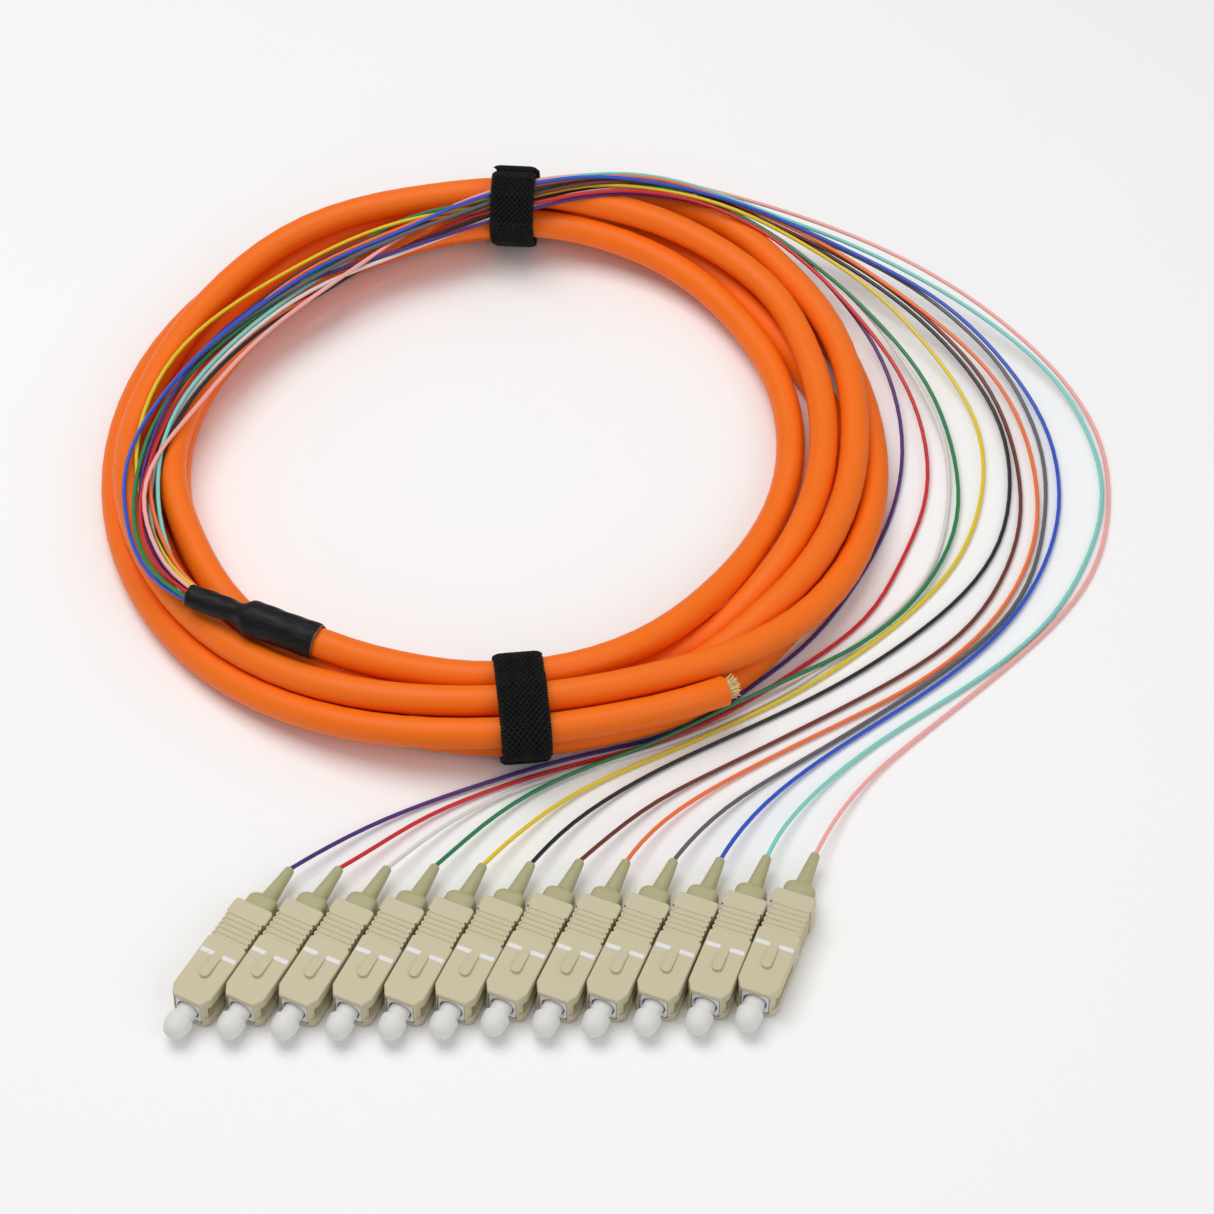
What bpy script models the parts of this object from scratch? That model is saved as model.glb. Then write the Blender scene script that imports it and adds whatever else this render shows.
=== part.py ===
"""Bundled fibre pigtail: a coil of round orange distribution cable with a heat-shrunk
breakout sleeve, twelve thin coloured fibres and twelve push-pull connectors with dust caps.

World frame: metres, +Z up. The coil, the connectors and the loose fibres lie on the plane
z = 0. +X runs to the right along the row of connectors, whose noses point towards -Y.
Lengths below are written in millimetres times MM.
"""
import math

import bmesh
import bpy
import numpy as np
from mathutils import Matrix, Vector

MM = 0.001

# Trunk cable
CABLE_DIAMETER = 6.3 * MM
COIL_CENTRE = Vector((-26.2, 31.8, 0.0)) * MM
COIL_STEP = math.radians(18)
REST_GAP = 0.12 * MM
CABLE_STRAIGHT = 0.5 * MM

# How the cords are settled: rounds, and the share of its drift that a point gives back
ROUNDS = 600
RECALL = 0.03
NEIGHBOURS = 1.5 * MM

# Fibres
FIBRE_DIAMETER = 0.9 * MM
FIBRE_POINTS = 34
FIBRE_INSET = 2.5 * MM
SLOT_STRAIGHT = 1.0 * MM
SLOT_FAN = 0.8
BOOT_STRAIGHT = 1.2 * MM

# Hook-and-loop straps
STRAP_WIDTH = 10.5 * MM
STRAP_THICKNESS = 1.1 * MM
STRAP_CLEARANCE = 0.35 * MM
STRAP_LAP_GAP = 0.2 * MM
STRAP_STEP = 2.0 * MM
STRAP_LAP = 17.0 * MM
STRAP_RAMP = 5.0 * MM
STRAP_TOP_ANGLE = math.radians(87.3)
STRAP_BOTTOM_ANGLE = math.radians(277)
STRAP_TOP_START = 0.5
STRAP_BOTTOM_START = 0.47

# Breakout sleeve, from its fibre end to its cable end
SLEEVE_FIBRE_END = Vector((-86.2, -19.2, 15.9)) * MM
SLEEVE_CABLE_END = Vector((-59.2, -30.7, 15.3)) * MM
SLEEVE_WALL = 0.5 * MM
SLEEVE_FIT = 0.2 * MM
SLEEVE_FIBRE_BORE = 2.05 * MM
SLEEVE_FIBRE_DEPTH = 4.0 * MM
SLEEVE_NECK = 10.8 * MM
SLEEVE_NECK_LENGTH = 3.2 * MM
SLEEVE_SIDES = 12

# Yarn tuft on the cut end
YARN_SIZE = Vector((3.2, 5.2, 4.4)) * MM
YARN_GAP = 0.2 * MM

# Connector: the grip
GRIP_WIDTH = 8.5 * MM
GRIP_HEIGHT = 7.4 * MM
GRIP_LENGTH = 24.8 * MM
GRIP_NOSE_CHAMFER = 1.2 * MM
GRIP_NOSE_LENGTH = 2.2 * MM
GRIP_TAIL_CHAMFER = 0.9 * MM
GRIP_TRAVEL = 2.0 * MM
SLIDE_GAP = 0.3 * MM
WINDOW_START = 3.4 * MM
WINDOW_LENGTH = 7.2 * MM
WINDOW_HEIGHT = 2.8 * MM
KEY_WIDTH = 2.0 * MM
KEY_LENGTH = 5.4 * MM
KEY_HEIGHT = 0.7 * MM
KEY_START = 5.6 * MM

# Connector: the plug, its ferrule and its boot
FRAME_WIDTH = 5.0 * MM
FRAME_HEIGHT = 4.6 * MM
FRAME_RECESS = 0.6 * MM
FRAME_LENGTH = 17.4 * MM
SOCKET_RADIUS = 2.0 * MM
SOCKET_DEPTH = 7.0 * MM
FERRULE_RADIUS = 1.25 * MM
FERRULE_RECESS = 0.4 * MM
COLLAR_WIDTH = 6.4 * MM
COLLAR_HEIGHT = 5.2 * MM
COLLAR_REACH = 3.0 * MM
COLLAR_CHAMFER = 1.1 * MM
BOOT_LENGTH = 9.5 * MM
BOOT_BASE_RADIUS = 1.65 * MM
BOOT_TIP_RADIUS = 0.98 * MM
BOOT_FIBRE_GAP = 0.15 * MM
ROUND_SIDES = 8
OVERLAP = 0.05 * MM

# Connector: the dust cap
CAP_HEAD_RADIUS = 2.25 * MM
CAP_HEAD_LENGTH = 4.3 * MM
CAP_REACH = 7.5 * MM
CAP_STEM_RADIUS = 1.72 * MM
CAP_BORE_RADIUS = 1.42 * MM
CAP_INSERT = 4.6 * MM
CAP_CLOSED_LENGTH = 1.5 * MM
CAP_BACK_ROUND = 0.4 * MM
CAP_DOME = 1.2 * MM
CAP_TOP_SHARE = 0.6

# The row of connectors: where the first one's nose lies and how far its tail leans to the
# right, then each next one's gap to the grip on its left at the nose and at the tail, and
# how far back along that grip its own nose begins
FIRST_NOSE = Vector((-78.68, -112.64, 0.0)) * MM
FIRST_LEAN = math.radians(27.14)
ROW_GAPS = {
    "red": (0.4, 0.15, 4.62), "white": (0.62, 0.19, 4.42), "green": (0.75, 0.21, 4.5),
    "yellow": (0.47, 0.16, 4.01), "black": (0.26, 0.13, 4.18), "brown": (0.16, 0.11, 4.5),
    "orange": (0.44, 0.15, 3.56), "grey": (0.22, 0.12, 3.75), "blue": (0.4, 0.15, 3.82),
    "aqua": (0.58, 0.17, 3.86), "pink": (0.12, 0.2, 3.97),
}

# The coil's turns, from the sleeve to the cut end: turn angle, radius and height
TURNS = (
    (246, 70.0, 14.2), (256, 68.7, 12.9), (270, 68.6, 11.9), (295, 68.4, 10.5), (320, 66.0, 7.5),
    (332, 65.4, 6.0), (365, 67.2, 5.0), (392, 70.1, 5.0), (419, 72.2, 7.0), (438, 70.9, 9.5),
    (450, 69.5, 10.3), (470, 67.0, 10.0), (493, 65.3, 9.0), (531, 67.4, 9.4), (548, 69.3, 9.4),
    (564, 69.0, 9.4), (584, 70.8, 9.2),
    (630, 72.5, 6.0), (655, 75.6, 3.9), (680, 76.5, 7.5), (689, 77.7, 8.7), (722, 80.2, 8.4),
    (743, 83.8, 9.0), (760, 85.5, 9.5), (774, 87.5, 10.5), (790, 84.0, 11.0), (810, 78.2, 10.3),
    (840, 77.5, 7.0), (870, 76.0, 3.6), (905, 75.3, 3.2), (945, 75.4, 3.4),
    (990, 78.8, 4.75), (1010, 78.6, 4.3), (1022, 78.2, 3.6), (1034, 77.9, 3.2), (1085, 77.4, 3.2), (1116, 75.5, 3.2),
    (1134, 79.1, 4.0), (1153, 78.5, 4.7), (1170, 75.2, 4.75), (1200, 71.0, 4.0), (1230, 68.6, 3.2),
    (1265, 69.0, 3.2), (1305, 68.5, 3.3),
    (1350, 66.3, 5.0), (1375, 69.3, 3.4), (1400, 70.6, 6.0), (1410, 71.1, 8.5), (1445, 73.7, 8.7),
    (1467, 77.3, 8.7), (1475, 79.5, 9.0), (1489, 78.7, 11.0), (1501, 77.6, 12.5), (1512, 76.0, 13.5),
    (1530, 74.6, 15.2), (1541, 74.4, 14.5), (1566, 77.6, 12.5), (1587, 77.0, 10.5), (1605, 76.8, 9.8),
    (1627, 79.0, 9.4), (1666, 78.2, 9.9),
    (1710, 75.2, 12.1), (1736, 76.8, 11.5), (1752, 80.4, 10.0), (1764, 82.5, 8.3), (1772, 83.2, 7.0),
    (1805, 84.2, 3.2), (1830, 86.0, 3.2), (1850, 86.0, 3.4), (1873, 83.5, 4.5), (1890, 81.4, 4.75),
    (1935, 82.0, 3.3), (1983, 81.7, 3.2), (2025, 81.5, 4.5),
    (2070, 81.8, 10.4), (2088, 82.2, 10.0), (2096, 83.5, 9.6), (2106, 85.7, 9.5),
)

# Each fibre's way from the sleeve to its connector
ROUTES = {
    "violet": (
        (-91.7, -13.5, 15), (-100.2, 9, 12.5), (-96.2, 39.5, 13.5), (-83.7, 65, 12.5), (-66.2, 80, 12),
        (-35.2, 94.5, 13.5), (-27.7, 98.5, 13.5), (-16.7, 101, 15), (-2.7, 105, 15.5),
        (24.8, 103, 13.5), (38.8, 95, 10.5), (52.3, 81, 6.5), (61.3, 65, 4), (65.3, 41.5, 1.5),
        (61.3, 18.5, 0.5), (49.8, -5, 0.5), (40.3, -18, 0.5), (32.3, -24.5, 0.5), (27.8, -28, 0.5),
        (19.3, -35.5, 0.5), (9.3, -41, 0.5), (0.3, -44, 0.5), (-5.2, -46, 0.5), (-10.7, -48, 0.5),
        (-21.2, -53.5, 1), (-31.3, -57.7, 0.5), (-41.1, -62.8, 0.8), (-48.8, -67.8, 1.5),
        (-54.4, -72.5, 2.3), (-58.1, -76, 3),
    ),
    "red": (
        (-92.2, -13.5, 14.5), (-95.7, -7.5, 13.5), (-99.2, 0, 13.5), (-94.7, 36, 12), (-81.2, 63, 11.5),
        (-48.7, 90, 11), (-37.2, 97, 13.5), (-27.7, 99.5, 15), (-16.7, 101.5, 15.5), (-2.7, 105.5, 16),
        (17.8, 104.5, 14.5), (34.3, 97, 11.5), (47.8, 86, 8), (65.3, 60.5, 3.5), (70.3, 41.5, 1.5),
        (69.8, 24.5, 0.5), (63.3, 7, 0.5), (55.8, -9, 0.5), (49.3, -15.5, 0.5), (40.8, -22, 0.5),
        (32.3, -28, 0.5), (26.8, -32, 0.5), (19.3, -36.5, 1.4), (9.3, -42, 1), (2.8, -44.5, 0.5),
        (-1.2, -46, 0.5), (-9.2, -49.5, 0.5), (-21.2, -55.2, 0.5), (-31.1, -60.6, 0.7),
        (-37, -64.6, 1.2), (-40.8, -68, 1.7), (-44.5, -71.9, 2.3), (-48.2, -76.1, 3),
    ),
    "white": (
        (-91.2, -12, 13.5), (-97.2, 3, 11), (-98.7, 9.5, 11.5), (-95.2, 36.5, 11.5), (-72.7, 73, 11.5),
        (-53.2, 86.5, 12), (-27.7, 99, 14), (-16.7, 102, 16), (-2.7, 106, 16.5), (8.8, 106.5, 16),
        (20.3, 104.5, 13.5), (48.3, 89.5, 7), (61.3, 73, 4.5), (70.8, 54.5, 2.5), (75.3, 39, 1),
        (71.3, 7, 0.5), (63.3, -6.5, 0.5), (36.3, -29.5, 0.5), (26.8, -34, 0.5), (17.3, -39, 0.5),
        (9.3, -43, 0.5), (-1.2, -47.5, 0.5), (-9.2, -51.5, 0.5), (-17.2, -55.1, 0.5),
        (-23.1, -59.1, 0.7), (-30.9, -65.1, 1.4), (-35.1, -69.5, 2.1), (-38.8, -74.4, 2.9),
    ),
    "green": (
        (-95.2, -12.5, 15), (-100.7, 8.5, 13), (-98.7, 33, 13.5), (-90.7, 51, 12.5), (-66.7, 81, 12),
        (-48.2, 97, 13), (-39.7, 97.5, 16), (-27.7, 100.5, 16), (-16.7, 103.5, 17), (-2.7, 107, 18),
        (20.3, 105, 15), (48.3, 87.5, 8.5), (61.3, 73.5, 5.5), (72.3, 55.5, 2.5), (76.8, 24.5, 0.5),
        (72.3, 7, 0.5), (61.3, -10.5, 0.5), (48.8, -21, 0.5), (36.3, -28.5, 1.2), (28.8, -33.5, 1.5),
        (19.3, -39, 1.2), (11.3, -44, 0.6), (-1.2, -49.5, 0.5), (-7.1, -52.4, 0.5), (-13.1, -56, 0.6),
        (-19, -60.7, 1), (-22.9, -64.6, 1.5), (-26.4, -68.9, 2.1), (-29.3, -73.6, 2.8),
    ),
    "yellow": (
        (-90.2, -13.5, 15), (-98.7, 6, 12), (-102.7, 27, 13), (-94.7, 58, 13), (-58.2, 92.5, 12.5),
        (-44.7, 98, 13), (-35.2, 97.5, 16), (-27.7, 100, 15.5), (-16.7, 102.5, 16.5), (-5.2, 106.5, 17),
        (20.3, 104.5, 15), (34.3, 99.5, 12.5), (48.3, 92.5, 9), (61.8, 82, 6.5), (80.3, 53.5, 2),
        (83.3, 36.5, 1), (75.8, 7, 0.5), (48.8, -23, 0.5), (19.3, -42, 0.5), (-3, -55.1, 0.6),
        (-9, -59.8, 1), (-12.9, -63.8, 1.5), (-16.8, -68.2, 2.1), (-20.6, -73.1, 2.9),
    ),
    "black": (
        (-92.2, -9, 12.5), (-97.7, 11, 10.5), (-93.2, 36, 11.5), (-80.7, 61, 11), (-72.7, 70, 11),
        (-64.2, 77, 11), (-54.7, 86.5, 11.5), (-44.2, 92, 12.5), (-35.2, 95, 14.5), (-27.7, 99.5, 14.5),
        (-16.7, 102.5, 16), (-5.2, 106, 17), (20.3, 105.5, 14.5), (48.3, 95, 9), (72.8, 74.5, 5),
        (87.8, 48, 1.5), (87.3, 19, 0.5), (79.3, 1, 0.5), (52.8, -25, 0.5), (8.6, -52.5, 0.5),
        (1.9, -57.8, 0.8), (-5.7, -64.6, 1.7), (-8.8, -68.6, 2.3), (-11.5, -72.7, 2.9),
    ),
    "brown": (
        (-92.7, -8, 12), (-99.7, 11.5, 10), (-93.7, 45, 11.5), (-73.2, 78.5, 12), (-51.2, 93.5, 13),
        (-37.2, 96.5, 15), (-27.7, 99.5, 15.5), (-16.7, 103, 17), (6.3, 107.5, 17.5),
        (20.3, 106.5, 14.5), (34.3, 101, 12.5), (48.3, 95.5, 9.5), (61.8, 86.5, 7.5), (81.8, 64, 3.5),
        (88.3, 48, 1.5), (90.3, 22, 0.5), (86.8, 7, 0.5), (78.3, -10, 0.5), (65.8, -22.5, 0.5),
        (19.1, -53.4, 0.5), (12.1, -57.9, 0.9), (6.3, -63.2, 1.5), (2, -68.1, 2.2), (-1.4, -72.7, 3),
    ),
    "orange": (
        (-91.2, -9.5, 13.5), (-97.7, 8.5, 11.5), (-97.2, 33, 12), (-85.7, 60, 12), (-70.7, 79.5, 12.5),
        (-53.2, 91, 13), (-27.7, 100.5, 17), (-16.7, 104, 17.5), (6.3, 107.5, 18), (20.3, 106.5, 15.5),
        (34.3, 101.5, 13), (48.3, 96, 10), (83.8, 64.5, 3.5), (91.8, 48.5, 1.5), (94.3, 22, 0.5),
        (90.3, 4.5, 0.5), (81.3, -12, 0.5), (67.8, -26, 0.5), (39.8, -44, 0.5), (26.2, -52.7, 0.5),
        (19.1, -58, 1), (14.2, -62.2, 1.5), (10.3, -66.5, 2.1), (7.2, -70.8, 2.8),
    ),
    "grey": (
        (-91.7, -9.5, 15), (-99.2, 10.5, 12), (-98.7, 36.5, 13), (-85.7, 60.5, 13), (-72.7, 74, 13),
        (-53.2, 90, 13), (-27.7, 100.5, 16.5), (-16.7, 103.5, 17.5), (-5.2, 107, 18),
        (8.8, 107.5, 17.5), (25.3, 106, 14), (66.8, 87.5, 7), (77.8, 78, 5), (88.8, 64, 3),
        (94.8, 48.5, 1), (96.8, 34, 0.5), (92.3, 5, 0.5), (83.3, -11.5, 0.5), (43.8, -45.5, 0.5),
        (35.1, -51.7, 0.5), (28.8, -56.8, 0.9), (23.8, -61.5, 1.5), (19.9, -66.1, 2.1),
        (16.8, -70.7, 2.8),
    ),
    "blue": (
        (-91.7, -17.5, 15), (-96.7, -11.5, 15.5), (-103.2, 9.5, 13), (-103.7, 23.5, 13.5),
        (-88.2, 55, 14), (-62.2, 85, 13), (-48.7, 92.5, 13), (-38.7, 97.5, 16), (-27.7, 101.5, 17.5),
        (-16.7, 104.5, 18.5), (-5.2, 107, 18.5), (24.8, 104.5, 15.5), (52.8, 94, 10.5), (77.8, 79, 6),
        (96.8, 49, 1.5), (98.8, 25, 0.5), (94.3, 7.5, 0.5), (84.8, -10.5, 0.5), (71.8, -25, 0.5),
        (44.1, -47.7, 0.5), (36.7, -54.8, 0.9), (32.2, -59.8, 1.4), (28.6, -64.8, 2.1),
        (25.4, -70.3, 2.9),
    ),
    "aqua": (
        (-91.7, -10.5, 12.5), (-96.7, 9, 11.5), (-95.2, 35.5, 12.5), (-75.7, 70, 12), (-46.7, 95, 12.5),
        (-36.2, 99, 16.5), (-27.7, 100.5, 17.5), (-16.7, 104.5, 18), (8.8, 108, 18), (24.8, 106, 15),
        (38.8, 100.5, 13), (52.8, 96.5, 10.5), (79.8, 81, 6.5), (99.8, 61.5, 3), (106.3, 48.5, 1),
        (108.8, 25, 0.5), (96.3, -7, 0.5), (82.3, -22.5, 0.5), (56.3, -43, 0.5), (47.9, -50.8, 0.6),
        (42.8, -56.5, 1.1), (39.1, -61.2, 1.7), (36.4, -65.4, 2.3), (33.4, -70.3, 3),
    ),
    "pink": (
        (-92.7, -11, 16), (-99.7, 7, 14), (-99.2, 19.5, 13), (-93.7, 32, 12), (-78.7, 61, 11),
        (-58.7, 81.5, 12.5), (-48.2, 92.5, 13), (-42.2, 98.5, 12.5), (-36.2, 99.5, 16),
        (-27.7, 102, 18), (-16.7, 105, 19), (8.8, 108, 17.5), (52.8, 99, 11), (80.3, 83, 7.5),
        (99.8, 63.5, 3.5), (107.8, 49, 1.5), (110.3, 35.5, 0.5), (106.8, 10.5, 0.5), (97.8, -6.5, 0.5),
        (60.3, -45.5, 0.5), (55.5, -50.2, 0.7), (51.7, -55.3, 1.2), (48.4, -60.1, 1.7),
        (45.5, -65.3, 2.4), (43.6, -69.9, 3),
    ),
}

# Which place each fibre takes in the sleeve's bore: degrees round it, ring 1 outer, 0 inner
SLOTS = {
    "orange": (10, 1), "yellow": (50, 1), "pink": (90, 1), "red": (130, 1), "green": (170, 1),
    "blue": (210, 1), "white": (250, 1), "brown": (290, 1), "aqua": (330, 1),
    "grey": (30, 0), "violet": (150, 0), "black": (270, 0),
}
SLOT_PITCH = 1.0 * MM
INNER_RING = SLOT_PITCH / math.sqrt(3)
OUTER_RING = SLOT_PITCH / (2 * math.sin(math.radians(20)))

COLOURS = {
    "cable": (0.90, 0.22, 0.02), "sleeve": (0.015, 0.015, 0.017), "yarn": (0.80, 0.70, 0.36),
    "strap": (0.012, 0.012, 0.013), "grip": (0.58, 0.53, 0.39), "plug": (0.46, 0.45, 0.28),
    "cap": (0.80, 0.80, 0.78),
    "violet": (0.07, 0.03, 0.16), "red": (0.60, 0.02, 0.02), "white": (0.80, 0.78, 0.75),
    "green": (0.03, 0.30, 0.13), "yellow": (0.75, 0.58, 0.06), "black": (0.01, 0.01, 0.01),
    "brown": (0.12, 0.03, 0.02), "orange": (0.85, 0.16, 0.05), "grey": (0.12, 0.12, 0.13),
    "blue": (0.04, 0.13, 0.60), "aqua": (0.32, 0.68, 0.66), "pink": (0.95, 0.52, 0.52),
}


# Scene and materials

def clear_scene():
    for item in list(bpy.data.objects):
        bpy.data.objects.remove(item, do_unlink=True)


def new_collection(name):
    collection = bpy.data.collections.new(name)
    bpy.context.scene.collection.children.link(collection)
    return collection


def material(name, roughness=0.5, specular=0.5):
    made = bpy.data.materials.get(name)
    if made is None:
        made = bpy.data.materials.new(name)
        made.use_nodes = True
        shader = made.node_tree.nodes["Principled BSDF"]
        shader.inputs["Base Color"].default_value = (*COLOURS[name], 1.0)
        shader.inputs["Roughness"].default_value = roughness
        shader.inputs["Specular IOR Level"].default_value = specular
        made.diffuse_color = (*COLOURS[name], 1.0)
    return made


def add_object(name, data, look, collection, parent=None, place=None):
    made = bpy.data.objects.new(name, data)
    collection.objects.link(made)
    if parent is not None:
        made.parent = parent
    if place is not None:
        made.matrix_basis = place
    if not data.materials:
        data.materials.append(look)
    return made


# Smooth routes

def smooth_route(points, count):
    """Points at even steps along a smooth curve through the given ones."""
    points = np.asarray(points, float)
    knots = np.concatenate([[0.0], np.cumsum(np.sqrt(np.linalg.norm(np.diff(points, axis=0), axis=1)))])
    before, after = np.diff(knots)[:-1, None], np.diff(knots)[1:, None]
    rise = np.diff(points, axis=0) / np.diff(knots)[:, None]
    slopes = np.empty_like(points)
    slopes[0], slopes[-1] = rise[0], rise[-1]
    slopes[1:-1] = (rise[:-1] * after + rise[1:] * before) / (before + after)

    def at(place):
        k = np.clip(np.searchsorted(knots, place) - 1, 0, len(points) - 2)
        span = (knots[k + 1] - knots[k])[:, None]
        t = ((place - knots[k]) / (knots[k + 1] - knots[k]))[:, None]
        return (points[k] * (2 * t**3 - 3 * t**2 + 1) + slopes[k] * span * (t**3 - 2 * t**2 + t)
                + points[k + 1] * (3 * t**2 - 2 * t**3) + slopes[k + 1] * span * (t**3 - t**2))

    fine = at(np.linspace(0.0, knots[-1], 40 * len(points)))
    along = np.concatenate([[0.0], np.cumsum(np.linalg.norm(np.diff(fine, axis=0), axis=1))])
    even = np.linspace(0.0, along[-1], count)
    return np.stack([np.interp(even, along, fine[:, axis]) for axis in range(3)], axis=1)


def coil_route():
    """The cable's centreline: a straight start in the sleeve, then turn after turn."""
    start = np.array(SLEEVE_CABLE_END)
    axis = start - np.array(SLEEVE_FIBRE_END)
    axis /= np.linalg.norm(axis)
    angles = np.radians([turn[0] for turn in TURNS])
    wanted = np.append(np.arange(angles[0], angles[-1] - COIL_STEP / 2, COIL_STEP), angles[-1])
    table = np.array([(angle, turn[1] * MM, turn[2] * MM) for angle, turn in zip(angles, TURNS)])
    fine = smooth_route(table * (1.0, 10.0, 10.0), 60 * len(TURNS)) / (1.0, 10.0, 10.0)
    radius = np.interp(wanted, fine[:, 0], fine[:, 1])
    height = np.interp(wanted, fine[:, 0], fine[:, 2])
    coil = np.stack([COIL_CENTRE.x + radius * np.cos(wanted), COIL_CENTRE.y + radius * np.sin(wanted), height], 1)
    inside = cable_socket_depth() - 2 * SLEEVE_FIT
    return np.vstack([start - axis * inside, start + axis * CABLE_STRAIGHT, coil])


def cable_socket_depth():
    length = (SLEEVE_CABLE_END - SLEEVE_FIBRE_END).length
    return length - SLEEVE_NECK - SLEEVE_NECK_LENGTH


def fibre_route(name):
    """A fibre's centreline, from its place in the sleeve's bore to its boot."""
    outward = (SLEEVE_FIBRE_END - SLEEVE_CABLE_END).normalized()
    side = outward.cross(Vector((0, 0, 1))).normalized()
    above = side.cross(outward)
    degrees, ring = SLOTS[name]
    turn = math.radians(degrees)
    radius = OUTER_RING if ring else INNER_RING
    slot = SLEEVE_FIBRE_END + radius * (math.cos(turn) * side + math.sin(turn) * above)
    nose, lean = connector_places()[name]
    back = Vector((math.sin(lean), math.cos(lean), 0))
    tip = nose + Vector((0, 0, GRIP_HEIGHT / 2)) + back * boot_end()
    straight = outward * (SLOT_STRAIGHT + SLOT_FAN * (OUTER_RING - radius * math.cos(turn)))
    chosen = [Vector(point) * MM for point in ROUTES[name]]
    middle = smooth_route([slot + straight, *chosen, tip + back * BOOT_STRAIGHT], FIBRE_POINTS - 2)
    return np.vstack([slot - outward * FIBRE_INSET, middle, tip + back * BOOT_FIBRE_GAP])


def boot_end():
    return GRIP_LENGTH + COLLAR_REACH + BOOT_LENGTH


def connector_places():
    """Each connector's nose and lean, every grip laid against the one on its left."""
    nose, lean = FIRST_NOSE, FIRST_LEAN
    near, far = GRIP_NOSE_LENGTH, GRIP_LENGTH - GRIP_TAIL_CHAMFER
    places = {next(iter(ROUTES)): (nose, lean)}
    for name, (nose_gap, tail_gap, back) in ROW_GAPS.items():
        slope = (tail_gap - nose_gap) * MM / (far - near)
        edge = GRIP_WIDTH / 2 + nose_gap * MM + slope * (back * MM - near)
        corner = nose + edge * across(lean) + back * MM * Vector((math.sin(lean), math.cos(lean), 0))
        lean += math.atan(slope)
        nose = corner + GRIP_WIDTH / 2 * across(lean)
        places[name] = (nose, lean)
    return places


def across(lean):
    return Vector((math.cos(lean), -math.sin(lean), 0))


# Cords resting on one another

def nearest(p, d, q, e):
    """How far along p + s d and q + t e two rows of segments come closest."""
    apart = p - q
    a, b, c = (d * d).sum(1), (d * e).sum(1), (d * apart).sum(1)
    f, g = (e * apart).sum(1), (e * e).sum(1)
    spread = np.maximum(a * g - b * b, 1e-9 * a * g)
    s = np.clip((b * f - c * g) / spread, 0, 1)
    t = np.clip((b * s + f) / g, 0, 1)
    s = np.clip((b * t - c) / a, 0, 1)
    return s, t


def settle(routes, radii, held, lowest, rounds, stiffness):
    """Push cords apart until none overlaps, keeping each as smooth as it was.

    held is how many points stay put at a cord's two ends, or None for a cord that stays whole.
    """
    starts = np.cumsum([0] + [len(route) for route in routes])
    points = np.vstack(routes).astype(float)
    moves = np.ones((len(points), 1))
    for start, end, ends in zip(starts, starts[1:], held):
        if ends is None:
            moves[start:end] = 0.0
        else:
            moves[start:start + ends[0]] = 0.0
            moves[end - ends[1]:end] = 0.0
    first = np.concatenate([np.arange(start, end - 1) for start, end in zip(starts, starts[1:])])
    inner = np.concatenate([np.arange(start + 1, end - 1) for start, end in zip(starts, starts[1:])])
    owner = np.concatenate([np.full(len(route) - 1, k) for k, route in enumerate(routes)])
    radius = np.asarray(radii)[owner]
    floor = np.concatenate([np.broadcast_to(low, len(route)) for route, low in zip(routes, lowest)])
    wanted = points.copy()
    bend = points[inner] - (points[inner - 1] + points[inner + 1]) / 2
    rows, columns = np.triu_indices(len(first), 1)
    loose = (moves[first] + moves[first + 1])[:, 0]
    kept = (loose[rows] + loose[columns] > 0) & ((owner[rows] != owner[columns]) | (columns - rows > 3))
    rows, columns = rows[kept], columns[kept]
    for step in range(int(rounds)):
        if step % 10 == 0:
            middle = (points[first] + points[first + 1]) / 2
            reach = np.linalg.norm(points[first + 1] - points[first], axis=1) / 2 + radius + NEIGHBOURS
            close = np.linalg.norm(middle[rows] - middle[columns], axis=1) < reach[rows] + reach[columns]
            i, j = rows[close], columns[close]
        p, q = points[first[i]], points[first[j]]
        d, e = points[first[i] + 1] - p, points[first[j] + 1] - q
        s, t = nearest(p, d, q, e)
        gap = p + d * s[:, None] - q - e * t[:, None]
        length = np.maximum(np.linalg.norm(gap, axis=1), 1e-7)
        lack = np.maximum(radius[i] + radius[j] + REST_GAP - length, 0)
        push = 0.8 * (lack / length)[:, None] * gap
        shift, count = np.zeros_like(points), np.zeros(len(points))
        for index, weight, side in ((first[i], 1 - s, 1), (first[i] + 1, s, 1),
                                    (first[j], 1 - t, -1), (first[j] + 1, t, -1)):
            np.add.at(shift, index, side * push * weight[:, None])
            np.add.at(count, index, (lack > 0) * weight)
        points += shift / np.maximum(count, 1)[:, None] * moves
        if step < rounds * 0.6:
            sag = points[inner] - (points[inner - 1] + points[inner + 1]) / 2 - bend
            points[inner] -= stiffness * sag * moves[inner]
            points += RECALL * (wanted - points) * moves
        points[:, 2] = np.maximum(points[:, 2], floor)
    return [points[start:end] for start, end in zip(starts, starts[1:])]


def lowest_heights(coil):
    """How low the cable's centreline may lie: higher where a strap passes under it."""
    angle = np.arctan2(coil[:, 1] - COIL_CENTRE.y, coil[:, 0] - COIL_CENTRE.x)
    heights = np.full(len(coil), CABLE_DIAMETER / 2)
    for middle in (STRAP_TOP_ANGLE, STRAP_BOTTOM_ANGLE):
        off = np.abs((angle - middle + np.pi) % (2 * np.pi) - np.pi)
        heights[off < COIL_STEP] += STRAP_THICKNESS + STRAP_CLEARANCE + REST_GAP
    return heights


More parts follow.
